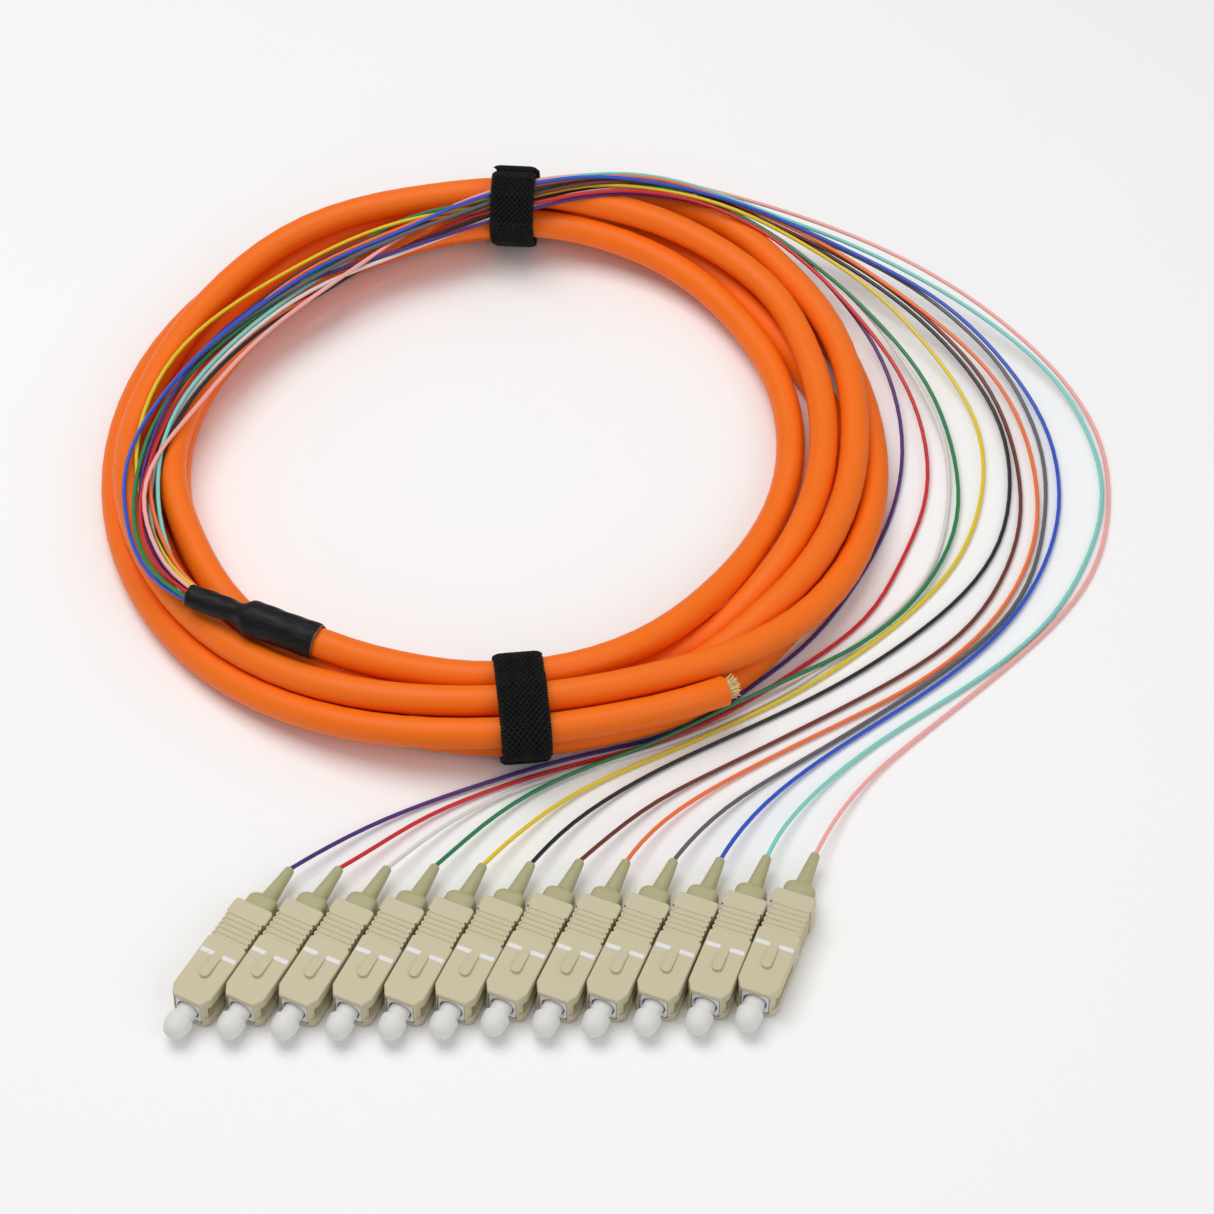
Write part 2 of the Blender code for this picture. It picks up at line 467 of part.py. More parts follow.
def lay_cords():
    """All centrelines, settled: the coil on itself, then the fibres on the coil."""
    sleeve = np.array([SLEEVE_FIBRE_END, SLEEVE_CABLE_END])
    thick, thin = CABLE_DIAMETER / 2, FIBRE_DIAMETER / 2
    coil = coil_route()
    coil, _ = settle([coil, sleeve], [thick, sleeve_radius()], [(2, 1), None], [lowest_heights(coil), 0], ROUNDS, 0.25)
    names = list(ROUTES)
    guards = strap_guards(coil)
    routes = [fibre_route(name) for name in names] + [coil] + guards
    radii = [thin] * len(names) + [thick] + [thick + STRAP_CLEARANCE + STRAP_THICKNESS] * len(guards)
    held = [(2, 2)] * len(names) + [None] * (1 + len(guards))
    laid = settle(routes, radii, held, [thin] * len(routes), ROUNDS, 0.3)
    return coil, dict(zip(names, laid))


def radial_frame(angle):
    """The straps' plane: outward and along the cable at this angle round the coil."""
    return Vector((math.cos(angle), math.sin(angle), 0)), Vector((-math.sin(angle), math.cos(angle), 0))


def crossings(route, angle, offset):
    """Where a route crosses the radial plane at an angle, shifted along the cable."""
    outward, along = radial_frame(angle)
    local = route - np.array(COIL_CENTRE)
    ahead = local @ np.array(along) - offset
    found = []
    for k in range(len(route) - 1):
        if ahead[k] * ahead[k + 1] <= 0 and ahead[k] != ahead[k + 1]:
            point = local[k] + (local[k + 1] - local[k]) * (ahead[k] / (ahead[k] - ahead[k + 1]))
            if point @ np.array(outward) > 0:
                found.append((point @ np.array(outward), point[2]))
    return found


def strap_guards(coil):
    """Short rods along the bottom strap, which keep the loose fibres outside it."""
    outward, along = radial_frame(STRAP_BOTTOM_ANGLE)
    half = STRAP_WIDTH / 2
    ends = []
    for radius, height in crossings(coil, STRAP_BOTTOM_ANGLE, 0.0):
        middle = np.array(COIL_CENTRE) + radius * np.array(outward) + np.array((0, 0, height))
        ends.append(np.array([middle - half * np.array(along), middle + half * np.array(along)]))
    return ends


# Straps

def convex_outline(points):
    """The convex hull of 2D points, anticlockwise."""
    points = sorted(set(points))

    def chain(row):
        kept = []
        for point in row:
            while len(kept) > 1 and ((kept[-1][0] - kept[-2][0]) * (point[1] - kept[-2][1])
                                     - (kept[-1][1] - kept[-2][1]) * (point[0] - kept[-2][0])) <= 0:
                kept.pop()
            kept.append(point)
        return kept[:-1]

    return chain(points) + chain(points[::-1])


def strap_path(bundle, start):
    """A strap's centre path round the bundle, overlapping itself at its end."""
    ring = [math.radians(10 * k) for k in range(36)]
    cloud = [(u + r * math.cos(a), z + r * math.sin(a)) for u, z, r in bundle for a in ring]
    hull = np.array(convex_outline(cloud))
    hull = np.vstack([hull, hull[:1]])
    along = np.concatenate([[0.0], np.cumsum(np.linalg.norm(np.diff(hull, axis=0), axis=1))])
    around = along[-1]
    total = around + STRAP_LAP
    count = int(total / STRAP_STEP)
    places = np.linspace(0.0, total, count) + start * around

    def at(place):
        place = place % around
        return np.array([np.interp(place, along, hull[:, 0]), np.interp(place, along, hull[:, 1])])

    path = []
    for place in places:
        ahead, behind = at(place + STRAP_STEP), at(place - STRAP_STEP)
        run = (ahead - behind) / np.linalg.norm(ahead - behind)
        ramp = np.clip((place - places[0] - around + STRAP_RAMP) / STRAP_RAMP, 0, 1)
        path.append(at(place) + np.array([run[1], -run[0]]) * ramp * (STRAP_THICKNESS + STRAP_LAP_GAP))
    return path


def add_strap(name, angle, start, coil, fibres, look, collection):
    reach = (-0.5, -0.25, 0.0, 0.25, 0.5)
    bundle = []
    for part in reach:
        offset = part * STRAP_WIDTH
        bundle += [(u, z, CABLE_DIAMETER / 2 + STRAP_CLEARANCE) for u, z in crossings(coil, angle, offset)]
        for fibre in fibres:
            bundle += [(u, z, FIBRE_DIAMETER / 2 + STRAP_CLEARANCE) for u, z in crossings(fibre, angle, offset)]
    path = strap_path(bundle, start)
    outward, along = radial_frame(angle)
    mesh = bpy.data.meshes.new(name)
    strip = bmesh.new()
    row = [strip.verts.new(COIL_CENTRE + outward * u + Vector((0, 0, z)) - along * STRAP_WIDTH / 2) for u, z in path]
    edges = [strip.edges.new(pair) for pair in zip(row, row[1:])]
    wide = bmesh.ops.extrude_edge_only(strip, edges=edges)["geom"]
    bmesh.ops.translate(strip, vec=along * STRAP_WIDTH, verts=[v for v in wide if isinstance(v, bmesh.types.BMVert)])
    bmesh.ops.recalc_face_normals(strip, faces=strip.faces)
    middle = Vector((sum(u for u, _ in path) / len(path), sum(z for _, z in path) / len(path)))
    face = min(strip.faces, key=lambda f: f.index if f.index >= 0 else 0)
    centre = COIL_CENTRE + outward * middle.x + Vector((0, 0, middle.y))
    if face.normal.dot(face.calc_center_median() - centre) < 0:
        bmesh.ops.reverse_faces(strip, faces=strip.faces)
    strip.to_mesh(mesh)
    strip.free()
    made = add_object(name, mesh, look, collection)
    shell = made.modifiers.new("Thickness", "SOLIDIFY")
    shell.thickness = STRAP_THICKNESS
    shell.offset = 1.0
    return made


# Cords

def add_cord(name, route, diameter, resolution, look, collection):
    curve = bpy.data.curves.new(name, "CURVE")
    curve.dimensions = "3D"
    spline = curve.splines.new("POLY")
    spline.points.add(len(route) - 1)
    for point, place in zip(spline.points, route):
        point.co = (*place, 1.0)
    curve.bevel_depth = diameter / 2
    curve.bevel_resolution = resolution
    curve.use_fill_caps = True
    return add_object(name, curve, look, collection)


# Sleeve and yarn

def sleeve_radius():
    return CABLE_DIAMETER / 2 + SLEEVE_FIT + SLEEVE_WALL


def turned(name, profile, look, collection, sides, place, parent=None):
    """A turned piece: a closed profile of radius and length, round local Z."""
    mesh = bpy.data.meshes.new(name)
    mesh.from_pydata([(r, 0, z) for r, z in profile], [(k, k + 1) for k in range(len(profile) - 1)], [])
    made = add_object(name, mesh, look, collection, parent, place)
    screw = made.modifiers.new("Turn", "SCREW")
    screw.steps = screw.render_steps = sides
    screw.use_merge_vertices = True
    screw.merge_threshold = 0.00001
    screw.use_smooth_shade = True
    screw.use_normal_calculate = True
    return made


def add_sleeve(collection):
    length = (SLEEVE_CABLE_END - SLEEVE_FIBRE_END).length
    socket = length - cable_socket_depth()
    bore = CABLE_DIAMETER / 2 + SLEEVE_FIT
    wide = sleeve_radius()
    narrow = SLEEVE_FIBRE_BORE + SLEEVE_WALL
    profile = [
        (0, length - cable_socket_depth()), (bore, socket), (bore, length), (wide, length),
        (wide, SLEEVE_NECK + SLEEVE_NECK_LENGTH), (narrow, SLEEVE_NECK), (narrow, 0),
        (SLEEVE_FIBRE_BORE, 0), (SLEEVE_FIBRE_BORE, SLEEVE_FIBRE_DEPTH), (0, SLEEVE_FIBRE_DEPTH),
    ]
    axis = (SLEEVE_CABLE_END - SLEEVE_FIBRE_END).normalized()
    turn = Vector((0, 0, 1)).rotation_difference(axis).to_matrix().to_4x4()
    place = Matrix.Translation(SLEEVE_FIBRE_END) @ turn
    return turned("breakout_sleeve", profile, material("sleeve", 0.45), collection, SLEEVE_SIDES, place)


def add_yarn(coil, collection):
    end, before = Vector(coil[-1]), Vector(coil[-2])
    axis = (end - before).normalized()
    side = axis.cross(Vector((0, 0, 1))).normalized()
    above = side.cross(axis)
    mesh = bpy.data.meshes.new("aramid_yarn")
    tuft = bmesh.new()
    bmesh.ops.create_icosphere(tuft, subdivisions=2, radius=0.5)
    for vert in tuft.verts:
        ripple = 1 + 0.12 * math.sin(9 * vert.co.y + 4 * vert.co.z)
        vert.co = Vector((max(vert.co.x, -0.25) * YARN_SIZE.x, vert.co.y * YARN_SIZE.y * ripple,
                          vert.co.z * YARN_SIZE.z * ripple))
    bmesh.ops.recalc_face_normals(tuft, faces=tuft.faces)
    tuft.to_mesh(mesh)
    tuft.free()
    centre = end + axis * (YARN_GAP + 0.25 * YARN_SIZE.x)
    place = Matrix((( axis.x, side.x, above.x, centre.x), (axis.y, side.y, above.y, centre.y),
                    (axis.z, side.z, above.z, centre.z), (0, 0, 0, 1)))
    return add_object("aramid_yarn", mesh, material("yarn", 0.9), collection, place=place)


# Connectors

def box(name, low, high, collection):
    mesh = bpy.data.meshes.new(name)
    shape = bmesh.new()
    size, middle = Vector(high) - Vector(low), (Vector(high) + Vector(low)) / 2
    bmesh.ops.create_cube(shape, size=1.0, matrix=Matrix.Translation(middle) @ Matrix.Diagonal((*size, 1)))
    shape.to_mesh(mesh)
    shape.free()
    made = bpy.data.objects.new(name, mesh)
    collection.objects.link(made)
    return made


def rod(name, radii, start, end, sides, collection):
    """A round bar or cone along local Y."""
    mesh = bpy.data.meshes.new(name)
    shape = bmesh.new()
    turn = Matrix.Rotation(math.radians(-90), 4, "X") @ Matrix.Rotation(math.pi / sides, 4, "Z")
    bmesh.ops.create_cone(shape, cap_ends=True, segments=sides, radius1=radii[0], radius2=radii[1],
                          depth=end - start, matrix=Matrix.Translation((0, (start + end) / 2, 0)) @ turn)
    shape.to_mesh(mesh)
    shape.free()
    made = bpy.data.objects.new(name, mesh)
    collection.objects.link(made)
    return made


def plate(name, outline, half_height, collection):
    """A flat outline with straight sides, as tall above the axis as below it."""
    curve = bpy.data.curves.new(name, "CURVE")
    curve.dimensions = "2D"
    curve.fill_mode = "BOTH"
    curve.extrude = half_height
    spline = curve.splines.new("POLY")
    spline.points.add(len(outline) - 1)
    spline.use_cyclic_u = True
    for point, (x, y) in zip(spline.points, outline):
        point.co = (x, y, 0, 1)
    drawn = bpy.data.objects.new(name + "_outline", curve)
    collection.objects.link(drawn)
    bpy.context.view_layer.update()
    mesh = bpy.data.meshes.new_from_object(drawn.evaluated_get(bpy.context.evaluated_depsgraph_get()))
    bpy.data.objects.remove(drawn)
    shape = bmesh.new()
    shape.from_mesh(mesh)
    bmesh.ops.remove_doubles(shape, verts=shape.verts, dist=0.001 * MM)
    bmesh.ops.dissolve_limit(shape, angle_limit=math.radians(1), verts=shape.verts, edges=shape.edges)
    bmesh.ops.recalc_face_normals(shape, faces=shape.faces)
    shape.to_mesh(mesh)
    shape.free()
    made = bpy.data.objects.new(name, mesh)
    collection.objects.link(made)
    return made


def chamfer_edges(item, width, wanted):
    shape = bmesh.new()
    shape.from_mesh(item.data)
    edges = [edge for edge in shape.edges if wanted(edge)]
    bmesh.ops.bevel(shape, geom=edges, offset=width, segments=1, profile=0.5, affect="EDGES")
    shape.to_mesh(item.data)
    shape.free()


def lengthwise(edge):
    return abs((edge.verts[0].co - edge.verts[1].co).normalized().y) > 0.9


def combine(target, tool, operation):
    joint = target.modifiers.new(operation.title(), "BOOLEAN")
    joint.operation = operation
    joint.object = tool
    joint.solver = "EXACT"
    tool.hide_render = True
    tool.display_type = "WIRE"


def baked(item, name):
    """The finished mesh of a shape built with modifiers, for copies to share."""
    bpy.context.view_layer.update()
    mesh = bpy.data.meshes.new_from_object(item.evaluated_get(bpy.context.evaluated_depsgraph_get()))
    mesh.name = name
    item.hide_render = True
    item.display_type = "WIRE"
    return mesh


def grip_mesh(guides):
    half, tall = GRIP_WIDTH / 2, GRIP_HEIGHT / 2
    nose, tail = half - GRIP_NOSE_CHAMFER, half - GRIP_TAIL_CHAMFER
    outline = [(nose, 0), (half, GRIP_NOSE_LENGTH), (half, GRIP_LENGTH - GRIP_TAIL_CHAMFER), (tail, GRIP_LENGTH)]
    body = plate("grip_body", outline + [(-x, y) for x, y in reversed(outline)], tall, guides)
    key = box("grip_key", (-KEY_WIDTH / 2, KEY_START, tall - OVERLAP),
              (KEY_WIDTH / 2, KEY_START + KEY_LENGTH, tall + KEY_HEIGHT), guides)
    wide, high = FRAME_WIDTH / 2 + SLIDE_GAP, FRAME_HEIGHT / 2 + SLIDE_GAP
    bore = box("grip_bore", (-wide, -OVERLAP, -high), (wide, GRIP_LENGTH + OVERLAP, high), guides)
    wide, high = COLLAR_WIDTH / 2 + SLIDE_GAP, COLLAR_HEIGHT / 2 + SLIDE_GAP
    step = FRAME_RECESS + FRAME_LENGTH - GRIP_TRAVEL - SLIDE_GAP
    tail_bore = box("grip_tail_bore", (-wide, step, -high), (wide, GRIP_LENGTH + OVERLAP, high), guides)
    window = box("grip_window", (-half - OVERLAP, WINDOW_START, -WINDOW_HEIGHT / 2),
                 (half + OVERLAP, WINDOW_START + WINDOW_LENGTH, WINDOW_HEIGHT / 2), guides)
    combine(body, key, "UNION")
    for cutter in (bore, tail_bore, window):
        combine(body, cutter, "DIFFERENCE")
    return baked(body, "grip")


def plug_mesh(guides):
    wide, high = FRAME_WIDTH / 2, FRAME_HEIGHT / 2
    frame_end = FRAME_RECESS + FRAME_LENGTH
    frame = box("plug_frame", (-wide, FRAME_RECESS, -high), (wide, frame_end + OVERLAP, high), guides)
    socket_end = FRAME_RECESS + SOCKET_DEPTH
    socket = rod("plug_socket", (SOCKET_RADIUS,) * 2, FRAME_RECESS - OVERLAP, socket_end, ROUND_SIDES, guides)
    ferrule = rod("plug_ferrule", (FERRULE_RADIUS,) * 2, FRAME_RECESS + FERRULE_RECESS,
                  socket_end + OVERLAP, ROUND_SIDES, guides)
    wide, high = COLLAR_WIDTH / 2, COLLAR_HEIGHT / 2
    collar_end = GRIP_LENGTH + COLLAR_REACH
    collar = box("plug_collar", (-wide, frame_end, -high), (wide, collar_end, high), guides)
    chamfer_edges(collar, COLLAR_CHAMFER, lengthwise)
    boot = rod("plug_boot", (BOOT_BASE_RADIUS, BOOT_TIP_RADIUS), collar_end - OVERLAP, boot_end(), ROUND_SIDES, guides)
    combine(frame, socket, "DIFFERENCE")
    for piece in (ferrule, collar, boot):
        combine(frame, piece, "UNION")
    return baked(frame, "plug")


def cap_profile():
    """Along the nose: the cap's closed end first, at the most negative length."""
    head_end = -CAP_REACH + CAP_HEAD_LENGTH
    return [
        (0, CAP_INSERT - CAP_REACH + CAP_CLOSED_LENGTH), (CAP_BORE_RADIUS, CAP_INSERT - CAP_REACH + CAP_CLOSED_LENGTH),
        (CAP_BORE_RADIUS, CAP_INSERT), (CAP_STEM_RADIUS, CAP_INSERT), (CAP_STEM_RADIUS, head_end),
        (CAP_HEAD_RADIUS, head_end - CAP_BACK_ROUND), (CAP_HEAD_RADIUS, -CAP_REACH + CAP_DOME),
        (CAP_TOP_SHARE * CAP_HEAD_RADIUS, -CAP_REACH), (0, -CAP_REACH),
    ]


def add_connector(name, grip, plug, collection):
    nose, lean = connector_places()[name]
    holder = bpy.data.objects.new("connector_" + name, None)
    collection.objects.link(holder)
    holder.location = nose + Vector((0, 0, GRIP_HEIGHT / 2))
    holder.rotation_euler = (0, 0, -lean)
    add_object("grip_" + name, grip, material("grip", 0.45), collection, holder)
    add_object("plug_" + name, plug, material("plug", 0.5), collection, holder)
    turn = Matrix.Rotation(math.radians(-90), 4, "X")
    turned("cap_" + name, cap_profile(), material("cap", 0.3), collection, ROUND_SIDES, turn, holder)


def build():
    clear_scene()
    part = new_collection("bundled_fibre_pigtail")
    guides = new_collection("guides")
    coil, fibres = lay_cords()
    add_cord("trunk_cable", coil, CABLE_DIAMETER, 4, material("cable", 0.4), part)
    add_sleeve(part)
    add_yarn(coil, part)
    strap = material("strap", 0.9)
    add_strap("strap_top", STRAP_TOP_ANGLE, STRAP_TOP_START, coil, fibres.values(), strap, part)
    add_strap("strap_bottom", STRAP_BOTTOM_ANGLE, STRAP_BOTTOM_START, coil, [], strap, part)
    grip, plug = grip_mesh(guides), plug_mesh(guides)
    for name in ROUTES:
        add_cord("fibre_" + name, fibres[name], FIBRE_DIAMETER, 2, material(name, 0.4), part)
        add_connector(name, grip, plug, part)


build()
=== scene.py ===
"""A bundled fibre pigtail: a coiled trunk cable, its fibres and their capped connectors."""

import math

import bmesh
import bpy
import numpy as np
from mathutils import Matrix, Vector


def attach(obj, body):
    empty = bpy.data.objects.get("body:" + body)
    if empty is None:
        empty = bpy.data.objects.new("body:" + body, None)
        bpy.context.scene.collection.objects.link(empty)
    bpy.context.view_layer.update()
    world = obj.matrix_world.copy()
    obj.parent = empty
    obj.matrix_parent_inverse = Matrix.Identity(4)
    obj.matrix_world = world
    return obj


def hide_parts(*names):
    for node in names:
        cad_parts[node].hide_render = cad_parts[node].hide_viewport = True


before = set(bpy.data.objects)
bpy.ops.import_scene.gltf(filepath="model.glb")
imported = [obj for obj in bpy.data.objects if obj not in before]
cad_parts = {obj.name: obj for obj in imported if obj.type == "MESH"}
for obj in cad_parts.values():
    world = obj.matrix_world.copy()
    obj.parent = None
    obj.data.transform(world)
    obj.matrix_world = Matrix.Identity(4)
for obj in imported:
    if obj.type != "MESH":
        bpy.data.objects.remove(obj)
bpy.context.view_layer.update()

MM = 0.001
CAMERA_PLACE = Vector((-0.0204, -441.383, 506.894)) * MM
CAMERA_TILT = math.radians(90 - 49.4216)
CAMERA_ROLL = math.radians(0.747)
CAMERA_LENS = 93.013
CAMERA_SENSOR = 36.0

# Trunk cable, and how cords settle on each other
CABLE_DIAMETER = 6.3 * MM
COIL_CENTRE = Vector((-26.2, 31.8, 0.0)) * MM
COIL_STEP = math.radians(18)
CABLE_SIDES = 28
JACKET_WALL = 0.9 * MM
JACKET_ROUND = 0.22 * MM
CORE_RECESS = 0.5 * MM
REST_GAP = 0.12 * MM
CABLE_STRAIGHT = 0.5 * MM
ROUNDS = 600
RECALL = 0.03
COIL_STIFFNESS = 0.25
FIBRE_STIFFNESS = 0.3
NEIGHBOURS = 1.5 * MM

# Fibres
FIBRE_DIAMETER = 0.9 * MM
FIBRE_POINTS = 34
FIBRE_SIDES = 10
FIBRE_INSET = 2.5 * MM
SLOT_STRAIGHT = 1.0 * MM
SLOT_FAN = 0.8
BOOT_STRAIGHT = 1.2 * MM

# Hook-and-loop straps
STRAP_WIDTH = 10.5 * MM
STRAP_THICKNESS = 1.1 * MM
STRAP_CLEARANCE = 0.35 * MM
STRAP_LAP_GAP = 0.2 * MM
STRAP_STEP = 0.15 * MM
STRAP_REACH = 2.0 * MM
STRAP_LAP = 17.0 * MM
STRAP_RAMP = 5.0 * MM
STRAP_TOP_ANGLE = math.radians(87.3)
STRAP_BOTTOM_ANGLE = math.radians(277)
STRAP_TOP_START = 0.5
STRAP_BOTTOM_START = 0.47

# Breakout sleeve
SLEEVE_FIBRE_END = Vector((-86.2, -19.2, 15.9)) * MM
SLEEVE_CABLE_END = Vector((-59.2, -30.7, 15.3)) * MM
SLEEVE_WALL = 0.5 * MM
SLEEVE_FIT = 0.2 * MM
SLEEVE_FIBRE_BORE = 2.05 * MM
SLEEVE_FIBRE_DEPTH = 4.0 * MM
SLEEVE_NECK = 10.8 * MM
SLEEVE_NECK_LENGTH = 3.2 * MM
SLEEVE_SIDES = 48

# Connector: the grip
GRIP_WIDTH = 8.5 * MM
GRIP_HEIGHT = 7.4 * MM
GRIP_LENGTH = 24.8 * MM
GRIP_NOSE_CHAMFER = 1.2 * MM
GRIP_NOSE_LENGTH = 2.2 * MM
GRIP_TAIL_ROUND = 0.9 * MM
GRIP_EDGE = 0.35 * MM
GRIP_TRAVEL = 2.0 * MM
SLIDE_GAP = 0.3 * MM
WINDOW_START = 1.3 * MM
WINDOW_END = 10.6 * MM
WINDOW_HEIGHT = 2.8 * MM
WINDOW_DEPTH = 1.25 * MM
WINDOW_FLOOR_END = 4.2 * MM
SLIT_END = 7.5 * MM
KEY_WIDTH = 2.0 * MM
KEY_LENGTH = 5.4 * MM
KEY_HEIGHT = 0.7 * MM
KEY_START = 5.6 * MM
RIB_START = 15.5 * MM
RIB_PITCH = 1.22 * MM
RIB_COUNT = 5
MARK_SIZE = (2.9 * MM, 0.95 * MM)
MARK_PLACE = (2.42 * MM, 11.34 * MM)

# Connector: the plug, its ferrule and its boot
FRAME_RECESS = 0.6 * MM
FRAME_LENGTH = 17.4 * MM
SOCKET_DEPTH = 7.0 * MM
MOUTH_WIDTH = 5.6 * MM
MOUTH_HEIGHT = 5.3 * MM
MOUTH_RECESS = 0.1 * MM
MOUTH_GAP = 0.1 * MM
MOUTH_HOLE = 2.35 * MM
FERRULE_RADIUS = 1.25 * MM
FERRULE_RECESS = 0.4 * MM
COLLAR_WIDTH = 6.4 * MM
COLLAR_HEIGHT = 5.8 * MM
COLLAR_REACH = 3.9 * MM
BOOT_LENGTH = 8.6 * MM
BOOT_BASE_RADIUS = 1.65 * MM
BOOT_TIP_RADIUS = 0.98 * MM
BOOT_FIBRE_GAP = 0.15 * MM

# Connector: the dust cap
CAP_HEAD_RADIUS = 2.6 * MM
CAP_HEAD_LENGTH = 4.3 * MM
CAP_REACH = 6.6 * MM
CAP_STEM_RADIUS = 2.02 * MM
CAP_BORE_RADIUS = 1.42 * MM
CAP_INSERT = 4.6 * MM

# The cap's dome: how far past the head's back, and how much narrower than it, in mm
CAP_DOME = ((0.7, 0.0), (1.5, 0.06), (2.3, 0.2), (3.0, 0.45), (3.55, 0.8), (3.95, 1.3), (4.2, 1.9))

# How finely the cords are drawn once they lie in place
FINE_COIL_SPLIT = 4
FINE_FIBRE_POINTS = 110
FINE_ROUNDS = 100
FIBRE_SMOOTHING = 5

# Detail that the CAD leaves out
NARROWEST = 0.02 * MM
ROUND_SIDES = 40
GRIP_LIP_ROUND = 2.0 * MM
KEY_SLOPE = 0.62
RIB_HALF = 3.6 * MM
GROOVE_HALF = 0.52 * MM
GROOVE_DEPTH = 0.42 * MM
GROOVE_LIFT = 0.12 * MM
GROOVE_SIDES = 20
WAIST_DEPTH = 0.28 * MM
NOTCH_DEPTH = 0.6 * MM
NOTCH_HALF = 0.36 * MM
NOTCH_SIDES = 12
STRAP_ACROSS = 72
WEAVE_PITCH = 0.62
WEAVE_HEIGHT = 0.32 * MM
STRAP_TOOTH = 0.24 * MM
STRAP_HEM = 0.35 * MM
GLUE_HALF_LENGTH = 0.32 * MM
GLUE_RIPPLE = 0.12 * MM
# The sleeve's dent, in mm and radians: depth, place, reach, then where and how wide round it
SLEEVE_DENT = (0.42, 12.6, 1.7, 2.2, 0.75)
SLEEVE_FOLD_REACH = 3.2
SLEEVE_RING_STEP = 0.4 * MM

# The yarn's strands
YARN_SEED = 7
YARN_STRANDS = 260
YARN_CORE = 1.9 * MM
YARN_LENGTH = (1.5 * MM, 3.1 * MM)
YARN_SPREAD = (-0.35, 0.1)
YARN_THICKNESS = (0.06 * MM, 0.13 * MM)
YARN_LEAN = np.array((0.0, 0.45))
YARN_WANDER = 0.22
YARN_CURL = 0.1 * MM

# Surroundings: each light's name, place, size in metres and power in watts
FLOOR_DROP = -0.0002
SKY_STRENGTH = 0.42
LIGHT_AIM = (-0.01, -0.01, 0.0)
SOFT_LIGHTS = (("key", (-0.2, 0.1, 0.8), 0.6, 3.6), ("fill", (0.5, -0.5, 0.6), 0.6, 1.2))

STAGE_REACH = 2.0

# Finishes: colour, roughness, tone change, patch mm, grain mm, grain depth mm, specks, shader values.
# Streaks: line width and length in mm, and strength
FINISHES = {
    "jacket": ((252, 116, 12), 0.46, 0.05, 14, 0.35, 0.006, 0.0, {"Specular IOR Level": 0.28}),
    "yarn": ((240, 220, 160), 0.8, 0.25, 1.2, 0.1, 0.02, 0.0, {"Sheen Weight": 0.25}),
    "sleeve": ((15, 16, 18), 0.48, 0.2, 3, 0.3, 0.012, 0.0, {"Specular IOR Level": 0.2}),
    "glue": ((112, 62, 36), 0.35, 0.2, 1.5, 0.3, 0.02, 0.0, {"Coat Weight": 0.2}),
    "strap": ((11, 11, 12), 0.75, 0.3, 2, 0.15, 0.02, 0.0, {"Specular IOR Level": 0.3}),
    "grip": ((205, 195, 163), 0.46, 0.035, 7, 0.16, 0.008, 0.5, {"Specular IOR Level": 0.45}),
    "mark": ((232, 230, 230), 0.5, 0.03, 2, 0.2, 0.004, 0.0, {"Specular IOR Level": 0.4}),
    "plug": ((232, 232, 236), 0.4, 0.03, 3, 0.2, 0.004, 0.0, {"Specular IOR Level": 0.4}),
    "boot": ((178, 175, 134), 0.5, 0.05, 4, 0.15, 0.008, 0.2, {"Specular IOR Level": 0.4}),
    "cap": ((228, 227, 224), 0.5, 0.04, 3, 0.25, 0.004, 0.0, {"Specular IOR Level": 0.3}),
    "floor": ((255, 255, 255), 0.9, 0.01, 60, 2.0, 0.0, 0.0, {}),
}
STREAKED = {"jacket": (0.5, 40.0, 0.10), "fibres": (0.15, 20.0, 0.05), "sleeve": (0.6, 6.0, 0.10)}
SCUFF = (190, 180, 170)
SPECK = (120, 108, 84)
SPECKS_SCALE = 330.0
SPECK_EDGE = (0.035, 0.06)
SPECK_SHARE = 0.86
# The grey of the painted highlights on the strap's hooks
HOOK_HIGHLIGHT = (120, 124, 130)
THREAD_SCALE = 0.62
THREAD_DEPTH = 0.14 * MM
STREAK_DEPTH = 0.06 * MM
FIBRE_COLOURS = {
    "violet": (76, 36, 120), "red": (206, 32, 40), "white": (226, 224, 222), "green": (26, 130, 78),
    "yellow": (234, 206, 38), "black": (26, 25, 26), "brown": (110, 48, 36), "orange": (245, 120, 62),
    "grey": (98, 98, 102), "blue": (34, 84, 200), "aqua": (132, 214, 204), "pink": (250, 176, 170),
}

# The row of connectors: where the first one's nose lies and how far its tail leans to the
# right, then each next one's gap to the grip on its left at the nose and at the tail, and
# how far back along that grip its own nose begins
FIRST_NOSE = Vector((-78.68, -112.64, 0.0)) * MM
FIRST_LEAN = math.radians(27.14)
ROW_GAPS = {
    "red": (0.4, 0.15, 4.62), "white": (0.62, 0.19, 4.42), "green": (0.75, 0.21, 4.5),
    "yellow": (0.47, 0.16, 4.01), "black": (0.26, 0.13, 4.18), "brown": (0.16, 0.11, 4.5),
    "orange": (0.44, 0.15, 3.56), "grey": (0.22, 0.12, 3.75), "blue": (0.4, 0.15, 3.82),
    "aqua": (0.58, 0.17, 3.86), "pink": (0.12, 0.2, 3.97),
}

